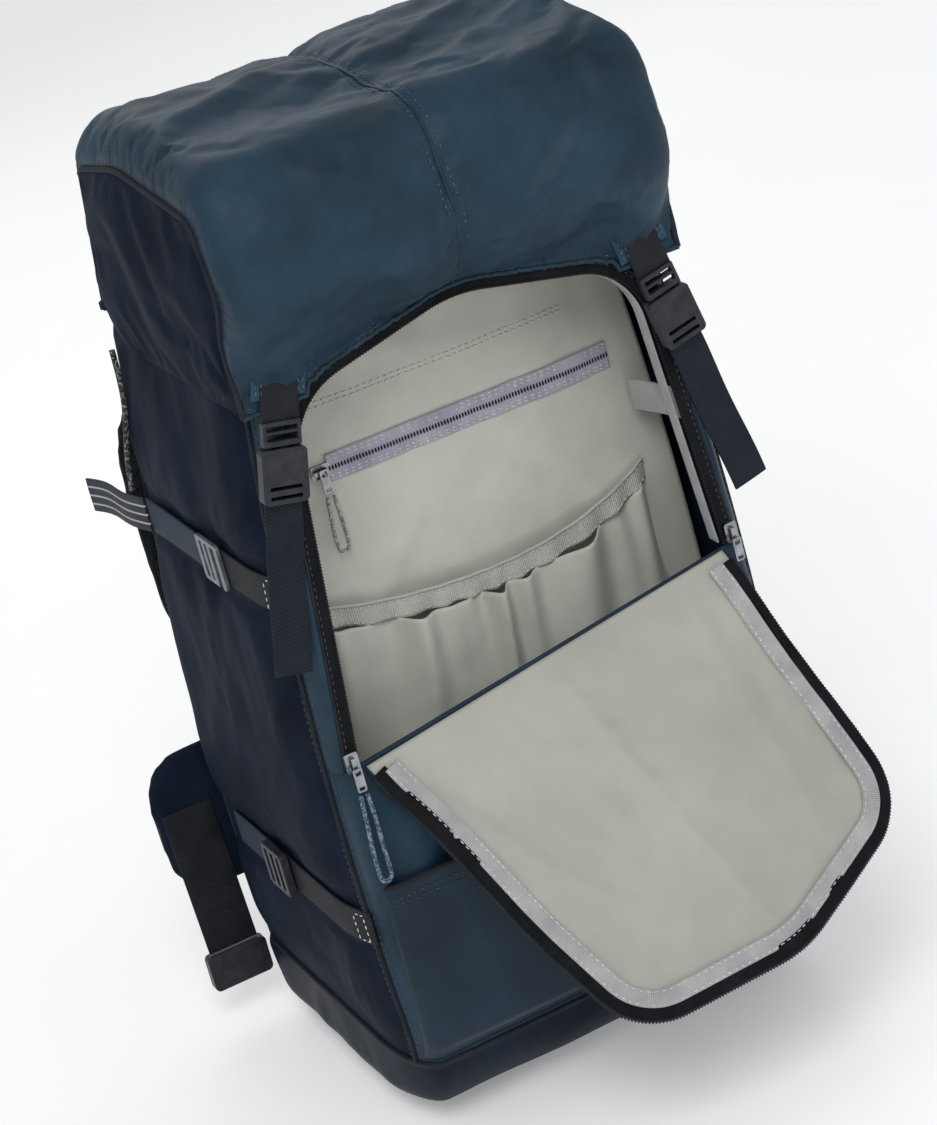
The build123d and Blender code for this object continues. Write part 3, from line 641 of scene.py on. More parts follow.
# Kernmantle cord: a braided sheath whose yarns show as specks.
BLACK_CORD = speckled("braided_cord_black", "#15171a", "#7d8085", 1.3, 0.3, share=0.62, roughness=0.75)
BLUE_CORD = speckled("braided_cord_slate", "#2f3d49", "#73859a", 1.1, 0.25, share=0.4, roughness=0.75)
GREY_CORD = speckled("braided_cord_grey", "#70706c", "#b3b2ad", 1.0, 0.25, share=0.4, roughness=0.8)
# Air mesh over foam on everything that touches the wearer.
AIR_MESH = spacer_mesh("spacer_mesh_black", "#050608", "#2b2f35", 2.6, roughness=0.85, specular_ior_level=0.12)
# Acetal, moulded with a light spark texture: dark grey, self-lubricating, with soft highlights.
ACETAL = moulded("moulded_acetal_dark_grey", "#16181d", "#2b2f36", 0.5, 0.03, 0.34, 0.52, specular_ior_level=0.3)
# Cast zinc sliders with a bright nickel plate that has dulled in the recesses.
NICKEL = moulded("nickel_plated_zinc", "#7e8083", "#adafb3", 0.6, 0.015, 0.22, 0.42, metallic=1.0)
# Pressed aluminium hook, matt anodised.
HOOK_METAL = moulded("anodised_aluminium_grey", "#5c6066", "#85898f", 0.5, 0.02, 0.38, 0.55, metallic=0.6)
STAY_METAL = moulded("drawn_aluminium", "#b5b7ba", "#d5d6d9", 0.5, 0.01, 0.3, 0.45, metallic=1.0)
# High-density polyethylene frame sheet, waxy and black.
HDPE = moulded("polyethylene_sheet_black", "#16171a", "#2a2c30", 0.9, 0.02, 0.4, 0.6)
# Matt paper sweep under the pack.
# It glows a little, as on a light table, so that its far edge doesn't turn grey.
PAPER = woven("studio_paper_white", "#f4f4f3", "#fbfbfa", 3.0, 0.01, blotch=900, on_uv=False, roughness=0.9,
              emission_color=srgb("#ffffff"), emission_strength=0.22)


# ---------------------------------------------------------------- camera, floor and light


def place_camera():
    """Camera in front, to the left and above, rolled so that the pack leans left in the view."""
    turn, rise, roll = math.radians(-20), math.radians(22.6), math.radians(-15)
    back = Vector((math.sin(turn) * math.cos(rise), -math.cos(turn) * math.cos(rise), math.sin(rise)))
    right = Vector((math.cos(turn), math.sin(turn), 0))
    up = back.cross(right)
    level = Matrix.Rotation(roll, 3, back)
    right, up = level @ right, level @ up
    aim = Vector((-11, -25, 330)) + right * 12.3 + up * 18.3
    data = bpy.data.cameras.new("camera")
    data.lens = 115.2
    data.clip_end = 20
    camera = bpy.data.objects.new("camera", data)
    bpy.context.scene.collection.objects.link(camera)
    turn_matrix = Matrix((right, up, back)).transposed().to_4x4()
    camera.matrix_world = Matrix.Translation((aim + back * 2400) * MM) @ turn_matrix
    bpy.context.scene.camera = camera


def area_light(name, place, aim, size, watts, colour):
    data = bpy.data.lights.new(name, "AREA")
    data.size = size
    data.energy = watts
    data.color = srgb(colour)[:3]
    lamp = bpy.data.objects.new(name, data)
    lamp.location = place
    lamp.rotation_euler = (Vector(place) - Vector(aim)).to_track_quat("Z", "Y").to_euler()
    bpy.context.scene.collection.objects.link(lamp)


def light_studio():
    bpy.context.scene.view_settings.view_transform = "Standard"
    world = bpy.context.scene.world or bpy.data.worlds.new("studio")
    bpy.context.scene.world = world
    world.use_nodes = True
    sky = world.node_tree.nodes["Background"]
    sky.inputs["Color"].default_value = srgb("#f7f8fa")
    sky.inputs["Strength"].default_value = 0.62
    area_light("key", (-0.9, -2.0, 2.4), (0, 0, 0.35), 1.2, 34, "#ffffff")
    area_light("fill", (2.2, -1.4, 1.0), (0, 0, 0.3), 1.6, 7, "#f4f7ff")
    area_light("rim", (0.4, 2.2, 1.8), (0, 0, 0.4), 1.6, 9, "#ffffff")


def make_floor():
    bm = bmesh.new()
    bmesh.ops.create_grid(bm, x_segments=2, y_segments=2, size=6)
    mesh = bpy.data.meshes.new("paper_floor")
    bm.to_mesh(mesh)
    bm.free()
    floor = bpy.data.objects.new("paper_floor", mesh)
    mesh.materials.append(PAPER)
    bpy.context.scene.collection.objects.link(floor)


place_camera()
light_studio()
make_floor()


# ---------------------------------------------------------------- cords


def nurbs_cord(name, points, diameter, body, sheath):
    """Cord on a smooth line whose control points are its route, in millimetres."""
    curve = bpy.data.curves.new(name, "CURVE")
    curve.dimensions = "3D"
    curve.resolution_u = 12
    curve.bevel_depth = diameter * MM / 2
    curve.bevel_resolution = 3
    curve.use_fill_caps = True
    spline = curve.splines.new("NURBS")
    spline.points.add(len(points) - 1)
    for target, p in zip(spline.points, points):
        target.co = (*(Vector(p) * MM), 1.0)
    spline.order_u = 3
    spline.use_endpoint_u = True
    return new_object(name, curve, body, sheath)


def loop_route(x, y, z, drop, lean):
    """Listed points of a cord doubled through a tab's eye."""
    return [
        (x - 2.4, y, z), (x - 3.6, y - 0.6, z - drop * 0.34), (x - 4.2 - lean, y - 0.9, z - drop * 0.66),
        (x - 3.9 - lean, y - 0.8, z - drop * 0.86), (x - 3.4 - lean, y - 0.7, z - drop),
        (x + 3.4 - lean, y - 0.7, z - drop), (x + 4.0 - lean, y - 0.9, z - drop * 0.86),
        (x + 3.6 - lean, y - 1.0, z - drop * 0.62), (x + 3.0, y - 0.6, z - drop * 0.3), (x + 2.4, y, z),
    ]


def make_cords():
    route = loop_route(-146.5, -149.3, 278.5, 62, 1)
    cord = nurbs_cord("door_pull_cord", route, 3.0, "pull_left", BLUE_CORD)
    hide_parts("door_cord_left")
    route = loop_route(-85.0, -59.3, 438.5, 38, 0.5)
    cord = nurbs_cord("pocket_pull_cord", route, 2.4, "inner_pull", GREY_CORD)
    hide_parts("pocket_cord")
    for side in SIDES:
        route = [(side * x, y, z) for x, y, z in (
            (156.5, 84, 536), (158.0, 80, 508), (161.5, 88, 480), (164.5, 99, 455), (166.0, 103, 432))]
        name = "side_cord_" + SIDE_NAMES[side]
        cord = nurbs_cord("lid_" + name, route, 4.0, "pack", BLACK_CORD)
        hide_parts(name)


make_cords()


# ---------------------------------------------------------------- body of the pack


def folds(p, seed):
    """Slack in the body's cloth: long soft waves that hang, with a few sharper tucks on the slant."""
    hanging = ripple((p.x, p.y * 1.2, p.z * 0.38), 90, 4.4, seed)
    slanting = abs(noise.noise(Vector((p.x, p.y + 0.8 * p.z, p.z * 0.35 - 0.3 * p.y)) / 62 + Vector((seed, 0, 0))))
    return hanging + 2.6 * (0.5 - min(slanting * 2.4, 1.0))


def door_side_x(z):
    """Half width of the door's opening at a height on its straight sides."""
    best = min(door_outline(0, 80), key=lambda p: abs(p[1] - z))
    return best[0]


FOLD_LEFT = (-140.9, 293.5)
FOLD_RIGHT = (137.0, 334.0)
SEAM_T = 1.5             # the seam between the front and the sides, on the outline's own measure


def lower_front_top(x):
    return fold_height(min(max(x, FOLD_LEFT[0]), FOLD_RIGHT[0]))


def lower_front(u, w):
    """Front below the door's fold: it pouches between the fold and the base, with pleats at its left."""
    s = 2 * u - 1
    t = abs(s) * SEAM_T
    side = 1 if s >= 0 else -1
    low = body_point(side, t, BASE_SEAM)
    z = BASE_SEAM + w * (lower_front_top(low.x) - BASE_SEAM)
    p = body_point(side, t, z)
    loose = smooth(0, 0.25, w) * (1 - smooth(0.85, 1, w)) * (1 - smooth(0.75, 1, abs(s)))
    pleat = 2.2 * math.sin(p.x / 7.0 + 2.4 * math.sin(p.z / 60)) * smooth(-60, -130, p.x)
    lift = loose * (2.0 + folds(p, 3.0) + pleat)
    return body_point(side, t, z, lift)


def ring_outer(x, z):
    """Where a ray from the opening's middle through a point of its edge meets the front's own border."""
    cx, cz = 0.0, 400.0
    reach = 1.0
    while reach < 4:
        px, pz = cx + (x - cx) * reach, cz + (z - cz) * reach
        w = abs(section(SEAM_T, min(max(pz, 70), BODY_TOP)).x)
        if abs(px) >= w or pz >= BODY_TOP:
            break
        reach += 0.004
    return px, min(pz, BODY_TOP)


FRONT_STEPS = 150
front_inner = door_loop(8.6, 0.0, FRONT_STEPS)
front_outer = [ring_outer(x, z) for x, z in front_inner]


def front_surround(u, w):
    """Front round the door's opening, from the zip's edge to the side seams and the top edge."""
    i = round(u * FRONT_STEPS)
    (xi, zi), (xo, zo) = front_inner[i], front_outer[i]
    level = smooth(0, 0.14, min(u, 1 - u))
    zo = zi + (zo - zi) * level
    side = 1 if xo > 0 else -1
    edge_w = abs(section(SEAM_T, zo).x)
    if level < 1:
        xo = side * edge_w
    x, z = xi + (xo - xi) * w, zi + (zo - zi) * w
    corner = half_width(z) - FRONT_CORNER_W
    y = FRONT_Y
    if abs(x) > corner:
        across = min((abs(x) - corner) / FRONT_CORNER_W, 0.9999)
        y = FRONT_Y + FRONT_CORNER_D * (1 - math.sqrt(1 - across * across))
    swell = 2.2 * math.sin(math.pi * min(w, 1.0)) + 0.5 * folds(Vector((x, y, z)), 7.0) * smooth(0, 0.2, w)
    return x, y - max(swell, -0.4) * smooth(0, 0.12, w) * (1 - smooth(0.88, 1, w)), z


def side_wall(side):
    """Side of the body: the straps draw it in, and it swells between them."""

    def place(u, w):
        z = BASE_SEAM + w * (BODY_TOP - BASE_SEAM)
        t = SEAM_T + u * (3.35 - SEAM_T)
        p = body_point(side, t, z)
        free = math.sin(math.pi * min(max(u, 0), 1)) ** 0.6 * smooth(0, 0.08, w) * (1 - smooth(0.93, 1, w))
        pinch = sum(math.exp(-(((z - level) / 26) ** 2)) for level in (UPPER_STRAP_Z, LOWER_STRAP_Z))
        pull = sum(
            1.6 * math.sin((p.y + 0.7 * abs(z - level)) / 11.0) * math.exp(-(((abs(z - level) - 26) / 20) ** 2))
            for level in (UPPER_STRAP_Z, LOWER_STRAP_Z)
        )
        lift = free * (6.0 * (1 - pinch) + folds(p, 11.0 + side) + pull * 0.7)
        return body_point(side, t, z, max(lift, -1.5) if pinch < 0.5 else lift * 0.4 - 0.3)

    return place


def back_wall(u, w):
    """Back of the body between the two side seams."""
    s = 2 * u - 1
    side = 1 if s >= 0 else -1
    t = 5 - abs(s) * (5 - 3.35)
    z = BASE_SEAM + w * (BODY_TOP - BASE_SEAM)
    p = body_point(side, t, z)
    return body_point(side, t, z, 0.4 * folds(p, 17.0) * smooth(0, 0.06, w) * (1 - smooth(0.94, 1, w)))


FLOOR_CLEAR = 0.4


def base_tub(u, w):
    """Base of tougher cloth: its walls curve in under the load to a flat underside."""
    turn = (u * 10) % 10
    side, t = (1, turn) if turn <= 5 else (-1, 10 - turn)
    if w < 0.7:
        z = BASE_SEAM + (FLOOR_CLEAR - BASE_SEAM) * smooth(0, 1, w / 0.7)
        z = max(z, FLOOR_CLEAR)
        p = body_point(side, t, z)
        lift = 0.5 * folds(p, 23.0) * smooth(0, 0.12, w) * (1 - smooth(0.5, 0.65, w))
        return body_point(side, t, z, lift)
    rim = body_point(side, t, FLOOR_CLEAR)
    inward = 1 - (w - 0.7) / 0.3
    middle = Vector((0, 40, FLOOR_CLEAR))
    return middle + (rim - middle) * inward


def interior_half_width(z, y):
    wall = 3.6
    off = min(max((FRONT_Y + FRONT_CORNER_D - y) / FRONT_CORNER_D, 0.0), 1.0)
    return half_width(z) - wall - FRONT_CORNER_W * (1 - math.sqrt(1 - off * off))


def divider_face(u, w):
    """Lining wall across the pack: it bags slightly and creases from its lower corners."""
    z = 6 + w * (574 - 6)
    half = interior_half_width(z, DIVIDER_Y)
    x = (2 * u - 1) * half
    p = Vector((x, DIVIDER_Y, z))
    free = (1 - abs(2 * u - 1) ** 4) * smooth(0, 0.08, w) * (1 - smooth(0.92, 1, w))
    sag = 2.5 + ripple(p, 120, 5.0, 31) + ripple((x, z * 0.5, 0), 34, 1.3, 35)
    diagonals = crease(p, Vector((-150, -50, 250)), Vector((-20, -50, 420)), 13, 3.4)
    diagonals += crease(p, Vector((150, -50, 300)), Vector((40, -50, 440)), 11, 3.0)
    diagonals += crease(p, Vector((-110, -50, 540)), Vector((20, -50, 505)), 10, 2.4)
    return x, DIVIDER_Y - free * (sag + diagonals), z


def roof_sheet(u, w):
    """Roof of the front compartment, under the lid."""
    y = FRONT_Y + 4 + w * (DIVIDER_Y + 2 - FRONT_Y - 4)
    half = interior_half_width(576, y)
    x = (2 * u - 1) * half
    return x, y, 576.5 + 0.5 * ripple((x, y, 0), 60, 1.5, 2)


COLLAR_TOP = 602.0


def collar_skirt(u, w):
    """Collar of the main compartment, gathered on its draw cord."""
    y0, y1 = DIVIDER_Y + 5, 98.0
    half = 139.0
    corner = 24.0
    outline = []
    for cx, cy, start in ((half - corner, y1 - corner, 0), (-half + corner, y1 - corner, 90),
                          (-half + corner, y0 + corner, 180), (half - corner, y0 + corner, 270)):
        for i in range(9):
            a = math.radians(start + 90 * i / 8)
            outline.append((cx + corner * math.cos(a), cy + corner * math.sin(a), math.cos(a), math.sin(a)))
    outline.append(outline[0])
    runs = [0.0]
    for a, b in zip(outline, outline[1:]):
        runs.append(runs[-1] + math.hypot(b[0] - a[0], b[1] - a[1]))
    s = u * runs[-1]
    k = max(i for i in range(len(runs) - 1) if runs[i] <= s + 1e-6)
    f = (s - runs[k]) / (runs[k + 1] - runs[k])
    a, b = outline[k], outline[k + 1]
    x, y = a[0] + f * (b[0] - a[0]), a[1] + f * (b[1] - a[1])
    nx, ny = a[2] + f * (b[2] - a[2]), a[3] + f * (b[3] - a[3])
    gather = (1.2 + 2.2 * w) * math.sin(2 * math.pi * u * 46 + 1.5 * math.sin(u * 40))
    draw = (5 + 9 * max(ny, 0)) * w * w
    z = LID_HEM + 2 + w * (COLLAR_TOP - LID_HEM - 2) * (1 - 0.05 * math.sin(u * 31))
    return x + nx * (gather - draw), y + ny * (gather - draw), z


def make_body():
    front = Panel("front_panel_below_door", 130, 110, lower_front, "pack", BLUE_NYLON, "shell_blue", (0, -1, 0))
    surround = Panel("front_panel_round_door", FRONT_STEPS, 16, front_surround, "pack", BLUE_NYLON, "shell_blue",
                     (0, -1, 0))
    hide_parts("front_panel")
    thicken(front.obj, 2.6)
    thicken(surround.obj, 2.6)
    walls = {}
    for side in SIDES:
        name = SIDE_NAMES[side]
        wall = Panel("side_wall_" + name, 84, 150, side_wall(side), "pack", DARK_NYLON, "shell_dark", (side, 0, 0))
        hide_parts("side_panel_" + name)
        thicken(wall.obj, 2.6)
        walls[side] = wall
    back = Panel("back_wall", 90, 110, back_wall, "pack", DARK_NYLON, "shell_dark", (0, 1, 0))
    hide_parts("back_panel")
    thicken(back.obj, 2.6)
    base = Panel("base_tub", 240, 40, base_tub, "pack", NAVY_NYLON, "pocket_navy", (0, -1, 0))
    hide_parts("base_panel")
    thicken(base.obj, 2.4)
    wall = Panel("compartment_lining_wall", 120, 150, divider_face, "pack", LINING, "lining_grey", (0, -1, 0))
    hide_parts("divider_wall")
    thicken(wall.obj, 1.6)
    roof = Panel("compartment_roof_lining", 40, 16, roof_sheet, "pack", DARK_NYLON, "shell_dark", (0, 0, 1))
    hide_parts("compartment_roof")
    thicken(roof.obj, 1.5)
    collar = Panel("draw_collar", 420, 12, collar_skirt, "pack", NAVY_NYLON, "shell_dark", (1, 0, 0))
    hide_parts("top_collar")
    thicken(collar.obj, 1.0)
    return front, surround, walls, back, base, wall


def seam_points(side, t, z0, z1, lift, steps=90):
    return [body_point(side, t, z0 + (z1 - z0) * i / steps, lift) * MM for i in range(steps + 1)]


def make_seams():
    """Piping along the body's seams, and the topstitching beside it."""
    rows = []
    for side in SIDES:
        name = SIDE_NAMES[side]
        for edge, t in (("front", SEAM_T), ("back", 3.35)):
            tube(f"piping_{edge}_{name}", seam_points(side, t, BASE_SEAM, BODY_TOP - 2, 0.6), 1.8, "pack",
                 DARK_GROSGRAIN_PLAIN)
        rows.append(seam_points(side, SEAM_T + 0.05, BASE_SEAM + 5, LID_HEM, 0.9))
        rows.append(seam_points(side, SEAM_T - 0.09, BASE_SEAM + 5, LID_HEM, 0.9))
    ring = []
    for i in range(240):
        turn = i / 24
        side, t = (1, turn) if turn <= 5 else (-1, 10 - turn)
        ring.append(body_point(side, t, BASE_SEAM, 0.8) * MM)
    tube("piping_base", ring, 1.9, "pack", DARK_GROSGRAIN_PLAIN, closed=True)
    stitches("body_topstitching", rows, "pack", DARK_THREAD, 0.3)


# Piping is the same grosgrain rolled round a cord, so its ribs are read in place of unrolled.
DARK_GROSGRAIN_PLAIN = woven("rolled_grosgrain_charcoal", "#101318", "#22262d", 1.3, 0.2, blotch=30, on_uv=False,
                             roughness=0.75, specular_ior_level=0.25)
GREY_GROSGRAIN_PLAIN = woven("rolled_grosgrain_grey", "#86878a", "#b4b5b4", 1.3, 0.2, blotch=30, on_uv=False,
                             roughness=0.8, specular_ior_level=0.2)


# ---------------------------------------------------------------- lid


def rounded_profile(points, step):
    """Line through corners given as (y, z, radius), with the corners rounded, at even steps."""
    dense = [Vector(points[0][:2])]
    for a, b, c in zip(points, points[1:], points[2:]):
        pa, pb, pc = Vector(a[:2]), Vector(b[:2]), Vector(c[:2])
        one, two = (pa - pb).normalized(), (pc - pb).normalized()
        half = one.angle(two) / 2
        reach = b[2] / math.tan(half)
        start, end = pb + one * reach, pb + two * reach
        middle = pb + (one + two).normalized() * (b[2] / math.sin(half))
        for i in range(17):
            arc = (start - middle).lerp(end - middle, i / 16).normalized() * b[2]
            dense.append(middle + arc)
    dense.append(Vector(points[-1][:2]))
    runs = [0.0]
    for a, b in zip(dense, dense[1:]):
        runs.append(runs[-1] + (b - a).length)
    count = int(runs[-1] / step)
    even, k = [], 0
    for i in range(count + 1):
        s = runs[-1] * i / count
        while k < len(dense) - 2 and runs[k + 1] < s:
            k += 1
        even.append(dense[k].lerp(dense[k + 1], (s - runs[k]) / max(runs[k + 1] - runs[k], 1e-9)))
    return even


LID_CORNERS = ((-146, 541, 0), (-146, 547, 3), (-186, 615, 50), (-168, 692, 40), (-30, 706, 150), (66, 690, 42),
               (110, 570, 30), (110, 566, 0))
lid_line = rounded_profile(LID_CORNERS, 3.0)
REAR_STRIP_Y = 62.0
REAR_INDEX = next(i for i, p in enumerate(lid_line) if p.x > REAR_STRIP_Y and p.y > 600)
LID_HALF_W = 153.0
LID_EDGE_R = 24.0


def lid_frame(i):
    """Point and outward direction of the lid's side line at one of its steps, as (y, z)."""
    i = min(max(i, 0), len(lid_line) - 1)
    a, b = lid_line[max(i - 2, 0)], lid_line[min(i + 2, len(lid_line) - 1)]
    along = (b - a).normalized()
    return lid_line[i], Vector((-along.y, along.x)) if along.x > 0 else Vector((-along.y, along.x))


def lid_drop(x):
    """How far the lid's skin turns in towards its side seams."""
    over = abs(x) - (LID_HALF_W - LID_EDGE_R)
    if over <= 0:
        return 0.0
    return LID_EDGE_R - math.sqrt(max(LID_EDGE_R ** 2 - over * over, 0.0))


def lid_hem_height(x):
    """Front hem: straight, and arched over the door's zip in the middle."""
    crown = door_outline(9.5, 80)
    if abs(x) > 110:
        return LID_HEM
    top = max((z for px, z in crown if abs(px - abs(x)) < 3.2), default=LID_HEM)
    return max(LID_HEM, top)


LID_WRINKLES = (
    # start, end, width, height: long tucks that run from the seams and the front corners
    ((-150, -150, 560), (-40, -188, 620), 9, 3.6), ((-60, -150, 560), (10, -190, 640), 8, 3.2),
    ((150, -150, 560), (60, -188, 630), 9, 3.6), ((-140, -176, 650), (-10, -160, 690), 10, 3.2),
    ((-150, -80, 690), (-20, -20, 706), 12, 3.6), ((140, -60, 695), (10, -110, 704), 12, 3.4),
    ((-130, 20, 700), (-15, -60, 706), 10, 3.0), ((130, 40, 695), (20, 0, 706), 11, 3.0),
    ((-100, -182, 600), (-30, -186, 655), 7, 2.6), ((30, -188, 600), (110, -180, 660), 8, 2.8),
    ((-60, -120, 700), (60, -140, 698), 9, 2.4), ((20, -60, 706), (120, -20, 700), 10, 2.6),
)


def lid_skin(first, last):
    """Skin of the lid between two steps of its side line."""

    def place(u, w):
        x = (2 * u - 1) * LID_HALF_W
        s = first + w * (last - first)
        i = int(s)
        (p0, n0), (p1, n1) = lid_frame(i), lid_frame(i + 1)
        p, n = p0.lerp(p1, s - i), n0.lerp(n1, s - i)
        drop = lid_drop(x) * smooth(0, 16, s)
        at = Vector((x, p.x, p.y))
        slack = smooth(0, 14, s) * (1 - smooth(len(lid_line) - 12, len(lid_line), s)) * (1 - smooth(120, 150, abs(x)))
        rise = ripple(at, 88, 4.2, 41) + ripple(at, 36, 1.0, 43)
        rise += sum(crease(at, Vector(a), Vector(b), wide, tall) for a, b, wide, tall in LID_WRINKLES)
        dip = -3.2 * math.exp(-((x / 9.0) ** 2))
        sag = -5.0 * smooth(20, 110, p.x + 186) * (1 - smooth(-20, 60, p.x)) * math.cos(x / LID_HALF_W * math.pi / 2)
        lift = slack * (rise + dip + sag * 0.6)
        y, z = p.x + n.x * (lift - drop), p.y + n.y * (lift - drop)
        if s < 16:
            arch = (lid_hem_height(x) - LID_HEM) * (1 - s / 16)
            z += arch
        return x, y, z

    return place


def lid_gusset(side):
    """Side of the lid between its seam and its lower hem."""
    seam = []
    for i in range(len(lid_line)):
        p, n = lid_frame(i)
        drop = LID_EDGE_R * smooth(0, 16, i)
        seam.append((p.x - n.x * drop, p.y - n.y * drop))

    def place(u, w):
        s = u * (len(seam) - 1)
        i = min(int(s), len(seam) - 2)
        f = s - i
        y = seam[i][0] + f * (seam[i + 1][0] - seam[i][0])
        z = seam[i][1] + f * (seam[i + 1][1] - seam[i][1])
        low_y = -144 + u * (108 - LID_EDGE_R + 144)
        low_z = LID_HEM + 1 + 22 * smooth(0.85, 1.0, u)
        yy, zz = y + (low_y - y) * w, z + (low_z - z) * w
        p = Vector((side * 153, yy, zz))
        free = math.sin(math.pi * w) ** 0.7 * math.sin(math.pi * u) ** 0.5
        swell = free * (4.5 + ripple(p, 80, 3.2, 51 + side) + ripple(p, 34, 0.7, 55))
        return side * (LID_HALF_W + swell), yy, zz

    return place


def lid_row(x, first, last, lift):
    """Points on the lid's skin along its length at one x."""
    skin = lid_skin(0, len(lid_line) - 1)
    out = []
    for i in range(first, last + 1):
        w = i / (len(lid_line) - 1)
        p, n = lid_frame(i)
        q = Vector(skin((x / LID_HALF_W + 1) / 2, w))
        out.append((q + Vector((0, n.x, n.y)) * lift) * MM)
    return out


def make_lid():
    last = len(lid_line) - 1
    top = Panel("lid_skin", 150, 170, lid_skin(0, REAR_INDEX), "lid", BLUE_NYLON, "shell_blue", (0, 0, 1))
    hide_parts("lid_top")
    slacken(top, 0.022, 0.0, 7, 3.5, pins=lambda u, w: edge_pins(u, w) or abs(u - 0.5) < 0.004)
    rear = Panel("lid_rear_skin", 100, 50, lid_skin(REAR_INDEX, last), "lid", DARK_NYLON, "shell_dark", (0, 1, 0.5))
    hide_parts("lid_rear_strip")
    thicken(rear.obj, 2.2)
    for side in SIDES:
        name = SIDE_NAMES[side]
        gusset = Panel("lid_gusset_cloth_" + name, 110, 44, lid_gusset(side), "lid", DARK_NYLON, "shell_dark",
                       (side, 0, 0))
        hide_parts("lid_gusset_" + name)
        slacken(gusset, 0.012, 0.0, 5, 4.0)
        thicken(gusset.obj, 2.0)
    return top


def dress_lid(top):
    """Centre seam, side piping, hem binding and topstitching, on the settled skin."""
    n = 150
    centre = [top.at(0.5, i / n, 0.2) for i in range(1, n)]
    tube("lid_centre_seam", centre, 1.0, "lid", BLUE_CORD_PLAIN)
    rows = [[top.at(0.5 + du, i / n, 0.3) for i in range(1, n)] for du in (-0.016, 0.016)]
    hem = [top.at(j / n, 0.0, 0.4) for j in range(n + 1)]
    tube("lid_hem_roll", hem, 1.7, "lid", BLUE_CORD_PLAIN)
    rows += [[top.at(j / n, dw, 0.3) for j in range(2, n - 1)] for dw in (0.012, 0.034)]
    stitches("lid_topstitching", rows, "lid", BLUE_THREAD, 0.34)
    for side in SIDES:
        edge = [top.at(0.0 if side < 0 else 1.0, i / n) for i in range(n + 1)]
        tube("lid_side_piping_" + SIDE_NAMES[side], edge, 1.9, "lid", DARK_GROSGRAIN_PLAIN)
    thicken(top.obj, 2.2)


BLUE_CORD_PLAIN = woven("rolled_nylon_slate_blue", "#16272f", "#28414f", 1.5, 0.1, blotch=30, on_uv=False,
                        roughness=0.5, specular_ior_level=0.16)


# ---------------------------------------------------------------- zips


TOOTH_PITCH = 2.2        # coil zips have teeth about 1.2 mm apart, drawn coarser so that they show


def coil(name, line, outs, width, body, material):
    """Coil of a zip: a row of small rounded turns across its line, in metres."""
    bm = bmesh.new()
    run, start = 0.0, TOOTH_PITCH * MM / 2
    for (a, b), out in zip(zip(line, line[1:]), outs):
        length = (b - a).length
        direction = (b - a) / length
        across = direction.cross(out).normalized()
        while start < run + length:
            middle = a + direction * (start - run)
            turn = Matrix((across, direction, out)).transposed().to_4x4()
            size = Matrix.Diagonal((width * MM / 2, TOOTH_PITCH * MM * 0.36, 0.8 * MM, 1))
            bmesh.ops.create_icosphere(
                bm, subdivisions=1, radius=1.0, matrix=Matrix.Translation(middle) @ turn @ size
            )
            start += TOOTH_PITCH * MM
        run += length
    mesh = bpy.data.meshes.new(name)
    bm.to_mesh(mesh)
    bm.free()
    shade_smooth(mesh)
    return new_object(name, mesh, body, material)


def flat_line(loop, y):
    return [Vector((x, y, z)) * MM for x, z in loop]


def make_body_zip():
    out = Vector((0, -1, 0))
    middle = flat_line(door_loop(4.6, 1.0, 260), FRONT_Y - 0.9)
    outs = [out] * len(middle)
    tape = ribbon("body_zip_tape_run", middle, outs, 9.0, 1.2, "pack", BLACK_TAPE)
    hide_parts("body_zip_tape")
    inner = flat_line(door_loop(1.0, 1.0, 260), FRONT_Y - 1.6)
    coil("body_zip_coil", inner, outs, 2.8, "pack", NYLON_COIL)
    edge = flat_line(door_loop(9.4, 1.0, 260), FRONT_Y - 1.2)
    tube("body_zip_welt", edge, 1.1, "pack", DARK_GROSGRAIN_PLAIN)
    stitches("body_zip_stitching", [flat_line(door_loop(7.2, 2.0, 260), FRONT_Y - 1.9)], "pack", DARK_THREAD,
             0.3)
    facing = flat_line(door_loop(-0.6, 1.0, 200), FRONT_Y + 9.0)
    inward = [Vector((0, 450, 0)) * 0 + Vector((-p.x, 0, 0.43 - p.z)).normalized() for p in facing]
    ribbon("opening_binding", facing, inward, 12.0, 1.0, "pack", GREY_GROSGRAIN, Vector((0, 1, 0)))


# ---------------------------------------------------------------- door


def door_lean_x(z, grow):
    """Half width of the door at a height anywhere on its outline."""
    loop = DOOR_HALVES[grow]
    if z >= loop[-1][1]:
        return 0.0
    for (x0, z0), (x1, z1) in zip(loop, loop[1:]):
        if z0 <= z <= z1:
            return x0 + (x1 - x0) * (z - z0) / max(z1 - z0, 1e-9)
    return loop[0][0]


DOOR_HALVES = {grow: door_outline(grow, 200) for grow in (-1.5, -3.0)}


